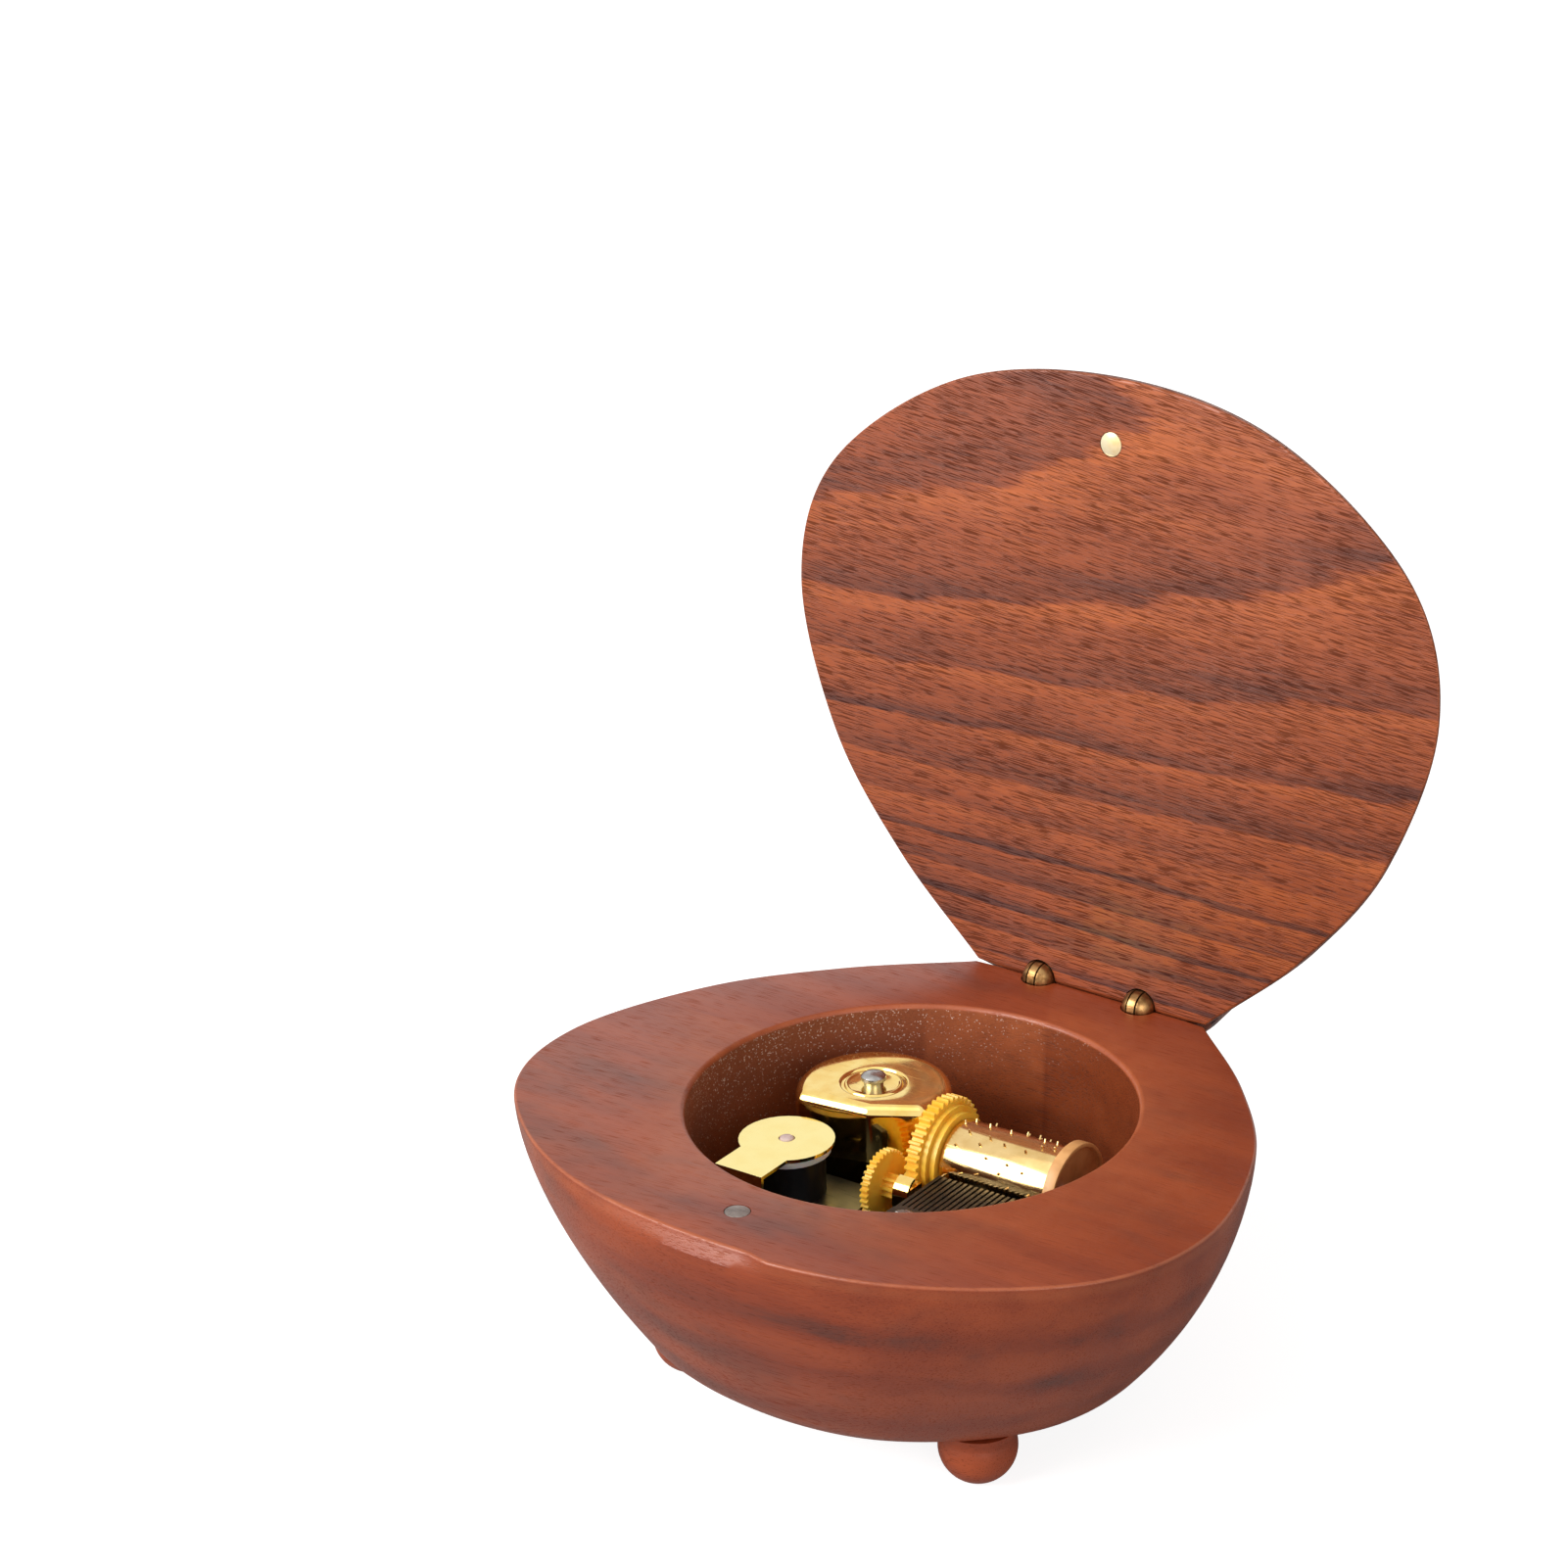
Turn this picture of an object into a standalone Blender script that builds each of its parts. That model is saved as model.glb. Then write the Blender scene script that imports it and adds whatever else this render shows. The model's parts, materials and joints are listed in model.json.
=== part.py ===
"""A spring-wound music box: a carved wooden bowl on ball feet, a domed lid on two barrel hinges,
and an eighteen-note movement in a round well, with its gears, comb, governor and winding key.

Metres, +Z up, +X along the hinge line, -Y towards the magnet catch at the front.
The lid is modelled open, leaning on its stop. The origin is under the middle of the whole box.
"""
import math

import bmesh
import bpy
from mathutils import Matrix, Vector

MM = 0.001

# Plan of the rim, half of it, from the hinge corner round to the front. Y is behind the hinge line.
HINGE_EDGE_HALF = 22.9 * MM
RIM_HALF_WIDTH = 62.3 * MM
RIM_LENGTH = 105.5 * MM
RIM_SIDE_POINTS = (
    (40.0 * MM, -15.4 * MM),
    (54.4 * MM, -34.6 * MM),
    (RIM_HALF_WIDTH, -60.5 * MM),
    (55.5 * MM, -82.5 * MM),
    (30.5 * MM, -100.3 * MM),
)
SIDE_STEPS = 5
BACK_EDGE_HALF = 19.0 * MM
BACK_OVERHANG = 4.5 * MM

# Base bowl
BOWL_DEPTH = 39.4 * MM
BOWL_LEAN_POWER = 1.7
BOTTOM_WIDTH_RATIO = 0.64
FRONT_LEAN = 15.9 * MM
BACK_LEAN = 6.0 * MM
BOTTOM_FILLET = 5.0 * MM
RIM_SOFTENING = 0.5 * MM
FOOT_HEIGHT = 9.05 * MM

# Well, key recess and thumb scoop
WELL_RADIUS = 36.1 * MM
WELL_BACK = 50.0 * MM
WELL_FLOOR_THICKNESS = 12.4 * MM
WELL_EDGE = 0.7 * MM
KEY_RECESS_RADIUS = 16.0 * MM
KEY_RECESS_DEPTH = 6.0 * MM
KEY_PASSAGE_RADIUS = 4.5 * MM
SCOOP_LEFT = -41.0 * MM
SCOOP_RIGHT = 13.0 * MM
SCOOP_BITE = 1.5 * MM
SCOOP_DEPTH = 2.8 * MM

# Lid
LID_HEIGHT = 31.4 * MM
LID_APEX_BACK = 14.0 * MM
LID_SIDE_BACK_POWERS = (3.2, 1.1)
LID_SIDE_FRONT_POWERS = (1.25, 1.1)
LID_FRONT_POWERS = (1.8, 2.4)
LID_BACK_POWERS = (6.0, 4.0)
LID_GAP = 0.3 * MM
LID_OPEN = math.radians(93.5)

# General clearances
SEAT_GAP = 0.3 * MM
RUN_GAP = 0.3 * MM
FIT_GAP = 0.15 * MM

# Feet
FOOT_RADIUS = 6.3 * MM
FOOT_COLLAR_RADIUS = 6.1 * MM
FOOT_DOWEL_RADIUS = 3.0 * MM
FOOT_DOWEL_LENGTH = 8.0 * MM
FOOT_SEAT_FLAT = 0.25 * MM
LEFT_FOOT_X = -30.3 * MM
LEFT_FOOT_BACK = 70.5 * MM
RIGHT_FOOT_X = 27.5 * MM
RIGHT_FOOT_BACK = 71.0 * MM
BACK_FOOT_BACK = 14.0 * MM

# Barrel hinges
HINGE_X = 10.05 * MM
BALL_RADIUS = 2.9 * MM
BARREL_RADIUS = 2.8 * MM
BARREL_START = 3.4 * MM
BARREL_END = 10.0 * MM
TONGUE_THICKNESS = 1.4 * MM
HINGE_PIN_RADIUS = 0.5 * MM
HINGE_PIN_HALF = 2.5 * MM

# Magnets of the catch
MAGNET_RADIUS = 2.0 * MM
MAGNET_LENGTH = 3.0 * MM
MAGNET_FROM_FRONT = 11.0 * MM

# Movement: placed by the spring housing's upright axis, turned a little in the well
HOUSING_X = -15.5 * MM
HOUSING_BACK = 39.5 * MM
MOVEMENT_TURN = math.radians(2.5)

# Bedplate, a border wider than what stands on it, with its corners cut
BEDPLATE_THICKNESS = 2.2 * MM
BEDPLATE_BORDER = 0.6 * MM
BEDPLATE_CORNER = 4.6 * MM
BEDPLATE_FRONT = -34.0 * MM
BEDPLATE_SIDE_BACK = 7.5 * MM

# Spring housing, heights above the bedplate's underside
HOUSING_RADIUS = 12.8 * MM
HOUSING_FLAT = 8.8 * MM
HOUSING_FLAT_ANGLE = math.radians(-83.3)
HOUSING_SIDE_FLAT = 9.4 * MM
HOUSING_SIDE_FLAT_ANGLE = math.radians(-60.0)
HOUSING_TOP = 21.7 * MM
HOUSING_EDGE = 2.0 * MM
HOUSING_WALL = 0.8 * MM
HOUSING_STEP = 0.4 * MM
BOSS_RADIUS = 5.7 * MM
ARBOR_RADIUS = 1.6 * MM
ARBOR_HEAD_RADIUS = 2.0 * MM

# Pinned cylinder, along the movement's long side
CYLINDER_AXIS_Y = -3.5 * MM
CYLINDER_AXIS_Z = 14.7 * MM
CYLINDER_RADIUS = 6.5 * MM
CYLINDER_START = 19.2 * MM
CYLINDER_END = 39.0 * MM
NOTE_COUNT = 18
NOTE_PITCH = 1.0 * MM
FIRST_NOTE_X = 20.2 * MM
PIN_HEIGHT = 0.8 * MM
PIN_WIDTH = 0.42 * MM
PINS_PER_NOTE = 4
SHAFT_RADIUS = 1.0 * MM
GEAR_START = 14.6 * MM
GEAR_FACE = 2.2 * MM
HUB_RADIUS = 8.3 * MM
HUB_STEP_RADIUS = 7.4 * MM
END_CAP_RADIUS = 8.1 * MM
END_CAP_LENGTH = 2.0 * MM
END_CAP_RIM = 0.7 * MM
END_CAP_RECESS = 1.0 * MM

# Gear train
GREAT_TEETH = 42
GREAT_MODULE = 0.44 * MM
SECOND_PINION_TEETH = 8
SECOND_WHEEL_TEETH = 36
SECOND_MODULE = 0.313 * MM
SECOND_DROP = 2.0 * MM
SECOND_WHEEL_START = 10.9 * MM
SECOND_WHEEL_FACE = 1.4 * MM
SECOND_SHAFT_RADIUS = 0.5 * MM
THIRD_PINION_TEETH = 8
THIRD_PINION_FACE = 1.8 * MM
WORM_WHEEL_TEETH = 14
WORM_MODULE = 0.35 * MM
WORM_WHEEL_FACE = 1.2 * MM
CROWN_PINION_TEETH = 10
CROWN_TEETH = 28
CROWN_MODULE = 0.4 * MM
CROWN_RADIUS = 6.85 * MM
MESH_GAP = 0.12 * MM

# Governor, placed by its upright pivot
GOVERNOR_X = -3.5 * MM
GOVERNOR_Y = -19.7 * MM
WORM_RADIUS = 1.25 * MM
BRACKET_RADIUS = 7.8 * MM
BRACKET_TOP = 19.0 * MM
BRACKET_THICKNESS = 0.6 * MM
BRACKET_NECK = 9.0 * MM
BRACKET_FRONT = -33.0 * MM
ROTOR_RADIUS = 7.2 * MM
ROTOR_THICKNESS = 1.0 * MM
TOWER_RADIUS = 6.2 * MM
BLOCK_LEFT = -10.1 * MM
BLOCK_RIGHT = 10.0 * MM
BLOCK_BACK = -12.0 * MM
BLOCK_TOP = 9.8 * MM
BLOCK_WALL = 1.0 * MM

# Comb
COMB_THICKNESS = 0.6 * MM
COMB_TOOTH_WIDTH = 0.7 * MM
COMB_ROOT_Y = -22.5 * MM
COMB_FRONT_Y = -32.0 * MM
COMB_BASE_THICKNESS = 2.0 * MM
COMB_SCREW_X = (24.2 * MM, 33.2 * MM)
COMB_SCREW_Y = -27.5 * MM

# Mounting screws from below, in the movement's plan
MOUNT_SCREWS = ((-6.0 * MM, -31.5 * MM), (38.3 * MM, 2.5 * MM), (22.0 * MM, -30.5 * MM))
SCREW_SHANK = 1.2 * MM
SCREW_HEAD_RADIUS = 2.6 * MM
SCREW_HEAD_HEIGHT = 1.8 * MM
SCREW_SINK = 2.5 * MM

# Winding key
KEY_HALF_WIDTH = 12.0 * MM
KEY_WING_THICKNESS = 2.6 * MM
KEY_HUB_RADIUS = 3.4 * MM
KEY_FLOOR_GAP = 2.2 * MM

# Places that follow from the sizes above
WELL_DEPTH = BOWL_DEPTH - WELL_FLOOR_THICKNESS
MAGNET_BACK = RIM_LENGTH - MAGNET_FROM_FRONT
BOWL_BOTTOM = FOOT_HEIGHT
RIM_Z = BOWL_BOTTOM + BOWL_DEPTH
HINGE_Z = RIM_Z + LID_GAP / 2
WELL_FLOOR_Z = RIM_Z - WELL_DEPTH
MOVEMENT_Z = WELL_FLOOR_Z + SEAT_GAP
CHAMFER_DEPTH = BACK_OVERHANG * math.tan(LID_OPEN / 2)


def blend(low, high, share):
    return low + (high - low) * share


def superellipse(share, powers):
    return max(1.0 - share ** powers[0], 0.0) ** (1.0 / powers[1])


def catmull_rom(points, steps):
    """Points along a smooth curve through the given ones, ends included."""
    padded = [2 * Vector(points[0]) - Vector(points[1])]
    padded += [Vector(point) for point in points]
    padded.append(2 * Vector(points[-1]) - Vector(points[-2]))
    curve = []
    for index in range(1, len(padded) - 2):
        before, start, end, after = padded[index - 1:index + 3]
        for step in range(steps):
            share = step / steps
            curve.append(0.5 * (
                2 * start
                + (end - before) * share
                + (2 * before - 5 * start + 4 * end - after) * share ** 2
                + (3 * start - before - 3 * end + after) * share ** 3
            ))
    curve.append(padded[-2])
    return curve


def rim_outline():
    """The rim's plan as points round it: x in metres, y from 0 at the hinge line to 1 at the front.

    The two points of the back edge come first and last, and are marked True.
    """
    side = [(HINGE_EDGE_HALF, 0.0)]
    side += list(RIM_SIDE_POINTS)
    front = (0.0, -RIM_LENGTH)
    mirrored = (-RIM_SIDE_POINTS[-1][0], RIM_SIDE_POINTS[-1][1])
    curve = catmull_rom(side + [front, mirrored], SIDE_STEPS)
    half = curve[:(len(side)) * SIDE_STEPS + 1]
    right = [(point[0], -point[1] / RIM_LENGTH, False) for point in half]
    left = [(-x, share, edge) for x, share, edge in reversed(right[:-1])]
    return [(BACK_EDGE_HALF, 0.0, True)] + right + left + [(-BACK_EDGE_HALF, 0.0, True)]


OUTLINE = rim_outline()


def chamfer_reach(distance):
    """How far the back edge lies behind the hinge line at this distance from the rim plane."""
    return min(distance / math.tan(LID_OPEN / 2), BACK_OVERHANG)


def scoop_inset(x, depth):
    """How far the thumb scoop cuts the front edge back here: it fades to the left, ends crisply right."""
    share = (x - SCOOP_LEFT) / (SCOOP_RIGHT - SCOOP_LEFT)
    if share <= 0 or share >= 1 or depth >= SCOOP_DEPTH:
        return 0.0
    rise = math.sin(min(share / 0.8, 1.0) * math.pi / 2)
    fall = min((1.0 - share) / 0.12, 1.0)
    return SCOOP_BITE * rise * fall * (1.0 - depth / SCOOP_DEPTH)


def bowl_ring(depth):
    """One level outline of the bowl, in plan, with y measured from the hinge line."""
    lean = (depth / BOWL_DEPTH) ** BOWL_LEAN_POWER
    widths = blend(1.0, BOTTOM_WIDTH_RATIO, lean)
    back = -BACK_LEAN * lean
    front = -RIM_LENGTH + FRONT_LEAN * lean
    into_fillet = depth - (BOWL_DEPTH - BOTTOM_FILLET)
    inset = 0.0
    if into_fillet > 0:
        inset = BOTTOM_FILLET - math.sqrt(max(BOTTOM_FILLET ** 2 - into_fillet ** 2, 0.0))
    middle = (front + back) / 2
    shrink = 1.0 - inset / (RIM_HALF_WIDTH * BOTTOM_WIDTH_RATIO)
    ring = []
    for x, share, edge in OUTLINE:
        y = blend(back, front, share)
        if edge:
            y += chamfer_reach(depth)
        if share > 0.5:
            y += scoop_inset(x, depth)
        ring.append((x * widths * shrink, blend(middle, y, shrink)))
    return ring


def lid_ring(share):
    """One level outline of the closed lid at this share of its height."""
    height = share * LID_HEIGHT
    fall_back = superellipse(share, LID_BACK_POWERS)
    fall_front = superellipse(share, LID_FRONT_POWERS)
    back = -LID_APEX_BACK * (1.0 - fall_back)
    front = blend(-LID_APEX_BACK, -RIM_LENGTH, fall_front)
    wide_back = superellipse(share, LID_SIDE_BACK_POWERS)
    wide_front = superellipse(share, LID_SIDE_FRONT_POWERS)
    ring = []
    for x, along, edge in OUTLINE:
        y = blend(back, front, along)
        if edge:
            y += chamfer_reach(height) * fall_back
        ring.append((x * blend(wide_back, wide_front, along), y))
    return ring


def soften(ring, inset):
    """The ring drawn in evenly by a small amount, for an eased edge."""
    shrink_x = 1.0 - inset / RIM_HALF_WIDTH
    shrink_y = 1.0 - 2 * inset / RIM_LENGTH
    middle = -RIM_LENGTH / 2
    eased = []
    for (x, y), (_, _, edge) in zip(ring, OUTLINE):
        eased_y = y if edge else blend(middle, y, shrink_y)
        eased.append((x * shrink_x, eased_y))
    return eased


def open_lid_reach():
    """How far behind the hinge line the open lid reaches."""
    reach = 0.0
    for level in range(41):
        share = math.sin(level / 40 * math.pi / 2)
        height = share * LID_HEIGHT + LID_GAP / 2
        for _, y in lid_ring(share):
            reach = max(reach, y * math.cos(LID_OPEN) + height * math.sin(LID_OPEN))
    return reach


HINGE_Y = (RIM_LENGTH - open_lid_reach()) / 2


def remove_startup_objects():
    for obj in list(bpy.data.objects):
        bpy.data.objects.remove(obj, do_unlink=True)


def new_collection(name):
    collection = bpy.data.collections.new(name)
    bpy.context.scene.collection.children.link(collection)
    return collection


def new_material(name, color, roughness, metallic):
    material = bpy.data.materials.new(name)
    material.use_nodes = True
    shader = material.node_tree.nodes["Principled BSDF"]
    shader.inputs["Base Color"].default_value = (*color, 1.0)
    shader.inputs["Roughness"].default_value = roughness
    shader.inputs["Metallic"].default_value = metallic
    material.diffuse_color = (*color, 1.0)
    return material


remove_startup_objects()
BOX = new_collection("music_box")
CUTTERS = new_collection("cutters")

WALNUT = (0.33, 0.10, 0.045)
GOLD = (0.95, 0.62, 0.16)
BRASS = (0.55, 0.36, 0.14)
STEEL = (0.36, 0.35, 0.34)
NICKEL = (0.70, 0.68, 0.65)
YELLOW = (0.85, 0.42, 0.03)
TAN = (0.62, 0.38, 0.14)
BLACK = (0.012, 0.012, 0.014)
WHITE = (0.82, 0.80, 0.78)


def empty(name, location, rotation_z=0.0, parent=None):
    obj = bpy.data.objects.new(name, None)
    obj.empty_display_size = 0.01
    obj.location = location
    obj.rotation_euler = (0.0, 0.0, rotation_z)
    obj.parent = parent
    BOX.objects.link(obj)
    return obj


def finish_object(name, mesh, parent, look=None, location=(0, 0, 0), rotation=(0, 0, 0)):
    """Adds a mesh as a named piece, or as a cutter where it has no look."""
    obj = bpy.data.objects.new(name, mesh)
    obj.parent = parent
    obj.location = location
    obj.rotation_euler = rotation
    if look is None:
        CUTTERS.objects.link(obj)
        obj.hide_render = True
        obj.display_type = "WIRE"
        return obj
    BOX.objects.link(obj)
    mesh.materials.append(new_material(name, *look))
    mesh.shade_smooth()
    mesh.set_sharp_from_angle(angle=math.radians(32))
    return obj


def mesh_from(bm, name):
    bmesh.ops.recalc_face_normals(bm, faces=bm.faces)
    mesh = bpy.data.meshes.new(name)
    bm.to_mesh(mesh)
    bm.free()
    return mesh


def loft(name, rings, parent, look=None, closed=False, apex=None, **place):
    """A skin over rings of equal point counts. Closed rings join last to first, with no caps."""
    bm = bmesh.new()
    layers = [[bm.verts.new(point) for point in ring] for ring in rings]
    pairs = list(zip(layers, layers[1:]))
    if closed:
        pairs.append((layers[-1], layers[0]))
    for lower, upper in pairs:
        count = len(lower)
        for index in range(count):
            after = (index + 1) % count
            bm.faces.new((lower[index], lower[after], upper[after], upper[index]))
    if not closed:
        bm.faces.new(layers[0])
        if apex is None:
            bm.faces.new(layers[-1])
        else:
            tip = bm.verts.new(apex)
            top = layers[-1]
            for index in range(len(top)):
                bm.faces.new((top[index], top[(index + 1) % len(top)], tip))
    return finish_object(name, mesh_from(bm, name), parent, look, **place)


def prism(name, outline, bottom, top, parent, look=None, **place):
    """A flat outline given thickness along local Z."""
    bm = bmesh.new()
    face = bm.faces.new([bm.verts.new((x, y, bottom)) for x, y in outline])
    result = bmesh.ops.extrude_face_region(bm, geom=[face])
    moved = [item for item in result["geom"] if isinstance(item, bmesh.types.BMVert)]
    bmesh.ops.translate(bm, verts=moved, vec=(0, 0, top - bottom))
    return finish_object(name, mesh_from(bm, name), parent, look, **place)


def turned(name, profile, steps, parent, look=None, **place):
    """A profile of (radius, height), running down its outer side, turned about local Z."""
    mesh = bpy.data.meshes.new(name)
    points = [(radius, 0.0, height) for radius, height in profile]
    ring = profile[0][0] > 0 and profile[-1][0] > 0
    edges = [(index, index + 1) for index in range(len(points) - 1)]
    if ring:
        edges.append((len(points) - 1, 0))
    mesh.from_pydata(points, edges, [])
    obj = finish_object(name, mesh, parent, look, **place)
    screw = obj.modifiers.new("turn", "SCREW")
    screw.axis = "Z"
    screw.angle = 2 * math.pi
    screw.steps = steps
    screw.render_steps = steps
    screw.use_merge_vertices = True
    screw.merge_threshold = 0.00001
    screw.use_smooth_shade = True
    screw.use_normal_calculate = False
    return obj


def rod(name, radius, bottom, top, steps, parent, look=None, **place):
    profile = ((0.0, top), (radius, top), (radius, bottom), (0.0, bottom))
    return turned(name, profile, steps, parent, look, **place)


def block(name, low, high, parent, look=None):
    outline = ((low[0], low[1]), (high[0], low[1]), (high[0], high[1]), (low[0], high[1]))
    return prism(name, outline, low[2], high[2], parent, look)


def combine(obj, other, operation="DIFFERENCE"):
    modifier = obj.modifiers.new(other.name, "BOOLEAN")
    modifier.operation = operation
    modifier.object = other
    modifier.solver = "EXACT"


def circle(radius, count, centre=(0.0, 0.0), start=0.0):
    points = []
    for index in range(count):
        angle = start + 2 * math.pi * index / count
        points.append((centre[0] + radius * math.cos(angle), centre[1] + radius * math.sin(angle)))
    return points


# Frames that the pieces hang from
box_frame = empty("box_frame", (0.0, HINGE_Y, 0.0))
lid_frame = empty("lid_hinge_axis", (0.0, HINGE_Y, HINGE_Z))
lid_frame.rotation_euler = (-LID_OPEN, 0.0, 0.0)
movement = empty("movement_frame", (HOUSING_X, HINGE_Y - HOUSING_BACK, MOVEMENT_Z), MOVEMENT_TURN)

WOOD_LOOK = (WALNUT, 0.45, 0.0)
GOLD_LOOK = (GOLD, 0.12, 1.0)
BRASS_LOOK = (BRASS, 0.3, 1.0)
STEEL_LOOK = (STEEL, 0.35, 1.0)
YELLOW_LOOK = (YELLOW, 0.4, 0.0)
BLACK_LOOK = (BLACK, 0.35, 0.0)
ACROSS = (0.0, math.pi / 2, 0.0)


def make_bowl():
    """The lower box: a carved bowl with a round well, drilled for hinges, feet, screws and key."""
    depths = [RIM_SOFTENING, SCOOP_DEPTH, CHAMFER_DEPTH]
    wall_bottom = BOWL_DEPTH - BOTTOM_FILLET
    wall_steps = 6
    depths += [blend(CHAMFER_DEPTH, wall_bottom, step / wall_steps) for step in range(1, wall_steps + 1)]
    fillet_steps = 4
    for step in range(1, fillet_steps + 1):
        depths.append(wall_bottom + BOTTOM_FILLET * math.sin(step / fillet_steps * math.pi / 2))
    rings = [[(x, y, RIM_Z) for x, y in soften(bowl_ring(0.0), RIM_SOFTENING)]]
    for depth in depths:
        rings.append([(x, y, RIM_Z - depth) for x, y in bowl_ring(depth)])
    bowl = loft("base_bowl", rings, box_frame, WOOD_LOOK)

    above = 1.0 * MM
    well_profile = (
        (0.0, RIM_Z + above),
        (WELL_RADIUS + WELL_EDGE + above, RIM_Z + above),
        (WELL_RADIUS + WELL_EDGE, RIM_Z),
        (WELL_RADIUS, RIM_Z - WELL_EDGE),
        (WELL_RADIUS, WELL_FLOOR_Z),
        (0.0, WELL_FLOOR_Z),
    )
    combine(bowl, turned("well_cutter", well_profile, 56, box_frame, location=(0, -WELL_BACK, 0)))

    key_place = (HOUSING_X, -HOUSING_BACK, 0)
    recess_top = BOWL_BOTTOM + KEY_RECESS_DEPTH
    recess_profile = (
        (0.0, WELL_FLOOR_Z + above),
        (KEY_PASSAGE_RADIUS, WELL_FLOOR_Z + above),
        (KEY_PASSAGE_RADIUS, recess_top),
        (KEY_RECESS_RADIUS, recess_top),
        (KEY_RECESS_RADIUS, BOWL_BOTTOM - above),
        (0.0, BOWL_BOTTOM - above),
    )
    combine(bowl, turned("key_recess_cutter", recess_profile, 36, box_frame, location=key_place))

    for side, sign in (("left", -1), ("right", 1)):
        hole = rod(
            f"hinge_hole_cutter_{side}", BARREL_RADIUS + RUN_GAP, HINGE_Z - BARREL_END - SEAT_GAP,
            RIM_Z + above, 20, box_frame, location=(sign * HINGE_X, 0, 0),
        )
        combine(bowl, hole)

    pocket = rod(
        "base_magnet_cutter", MAGNET_RADIUS + FIT_GAP, RIM_Z - MAGNET_LENGTH - SEAT_GAP,
        RIM_Z + above, 20, box_frame, location=(0, -MAGNET_BACK, 0),
    )
    combine(bowl, pocket)

    for name, x, back in FEET:
        dowel_hole = rod(
            f"{name}_cutter", FOOT_DOWEL_RADIUS + FIT_GAP, BOWL_BOTTOM - above,
            BOWL_BOTTOM + FOOT_DOWEL_LENGTH + SEAT_GAP, 16, box_frame, location=(x, -back, 0),
        )
        combine(bowl, dowel_hole)

    for index, (x, y) in enumerate(MOUNT_SCREWS):
        sink = BOWL_BOTTOM + SCREW_SINK - MOVEMENT_Z
        hole_profile = (
            (0.0, above),
            (SCREW_SHANK + FIT_GAP, above),
            (SCREW_SHANK + FIT_GAP, sink),
            (SCREW_HEAD_RADIUS + FIT_GAP, sink),
            (SCREW_HEAD_RADIUS + FIT_GAP, BOWL_BOTTOM - above - MOVEMENT_Z),
            (0.0, BOWL_BOTTOM - above - MOVEMENT_Z),
        )
        combine(bowl, turned(f"mount_screw_cutter_{index}", hole_profile, 14, movement, location=(x, y, 0)))


FEET = (
    ("foot_front_left", LEFT_FOOT_X, LEFT_FOOT_BACK),
    ("foot_front_right", RIGHT_FOOT_X, RIGHT_FOOT_BACK),
    ("foot_back", 0.0, BACK_FOOT_BACK),
)


def make_feet():
    """Three turned ball feet, each with a dowel glued into the bowl's underside."""
    ball_z = FOOT_RADIUS - FOOT_SEAT_FLAT
    top = BOWL_BOTTOM - SEAT_GAP
    collar = 0.8 * MM
    chamfer = 0.4 * MM
    profile = [
        (0.0, BOWL_BOTTOM + FOOT_DOWEL_LENGTH),
        (FOOT_DOWEL_RADIUS - chamfer, BOWL_BOTTOM + FOOT_DOWEL_LENGTH),
        (FOOT_DOWEL_RADIUS, BOWL_BOTTOM + FOOT_DOWEL_LENGTH - chamfer),
        (FOOT_DOWEL_RADIUS, top),
        (FOOT_COLLAR_RADIUS, top),
        (FOOT_COLLAR_RADIUS, top - collar),
    ]
    start = math.asin((top - 1.6 * collar - ball_z) / FOOT_RADIUS)
    end = -math.asin(ball_z / FOOT_RADIUS)
    ball_steps = 8
    for step in range(ball_steps + 1):
        angle = blend(start, end, step / ball_steps)
        profile.append((FOOT_RADIUS * math.cos(angle), ball_z + FOOT_RADIUS * math.sin(angle)))
    profile.append((0.0, 0.0))
    for name, x, back in FEET:
        turned(name, profile, 20, box_frame, WOOD_LOOK, location=(x, -back, 0))


def make_lid():
    """The lid: a solid dome, highest just in front of the hinges, falling towards the catch."""
    face = LID_GAP / 2
    rings = [[(x, y, face) for x, y in soften(lid_ring(0.0), RIM_SOFTENING)]]
    shares = [RIM_SOFTENING / LID_HEIGHT, CHAMFER_DEPTH / LID_HEIGHT]
    lower = math.asin(shares[-1]) / (math.pi / 2)
    levels = 9
    for level in range(1, levels):
        shares.append(math.sin(blend(lower, 1.0, level / levels) * math.pi / 2))
    for share in shares:
        rings.append([(x, y, face + share * LID_HEIGHT) for x, y in lid_ring(share)])
    apex = (0.0, -LID_APEX_BACK, face + LID_HEIGHT)
    lid = loft("lid", rings, lid_frame, WOOD_LOOK, apex=apex)

    above = 1.0 * MM
    for side, sign in (("left", -1), ("right", 1)):
        hole = rod(
            f"lid_hinge_hole_cutter_{side}", BARREL_RADIUS + RUN_GAP, -above,
            BARREL_END + SEAT_GAP, 20, lid_frame, location=(sign * HINGE_X, 0, 0),
        )
        combine(lid, hole)
    pocket = rod(
        "lid_magnet_cutter", MAGNET_RADIUS + FIT_GAP, -above, face + MAGNET_LENGTH + SEAT_GAP,
        20, lid_frame, location=(0, -MAGNET_BACK, 0),
    )
    combine(lid, pocket)


def make_magnets():
    """Two small disc magnets, let in flush, that hold the lid shut."""
    rod("base_magnet", MAGNET_RADIUS, RIM_Z - MAGNET_LENGTH, RIM_Z, 20, box_frame, (NICKEL, 0.35, 1.0),
        location=(0, -MAGNET_BACK, 0))
    face = LID_GAP / 2
    rod("lid_magnet", MAGNET_RADIUS, face, face + MAGNET_LENGTH, 20, lid_frame, (GOLD, 0.35, 1.0),
        location=(0, -MAGNET_BACK, 0))


def ball_arc(start, end, steps):
    points = []
    for step in range(steps + 1):
        angle = blend(start, end, step / steps)
        points.append((BALL_RADIUS * math.cos(angle), BALL_RADIUS * math.sin(angle)))
    return points


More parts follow.
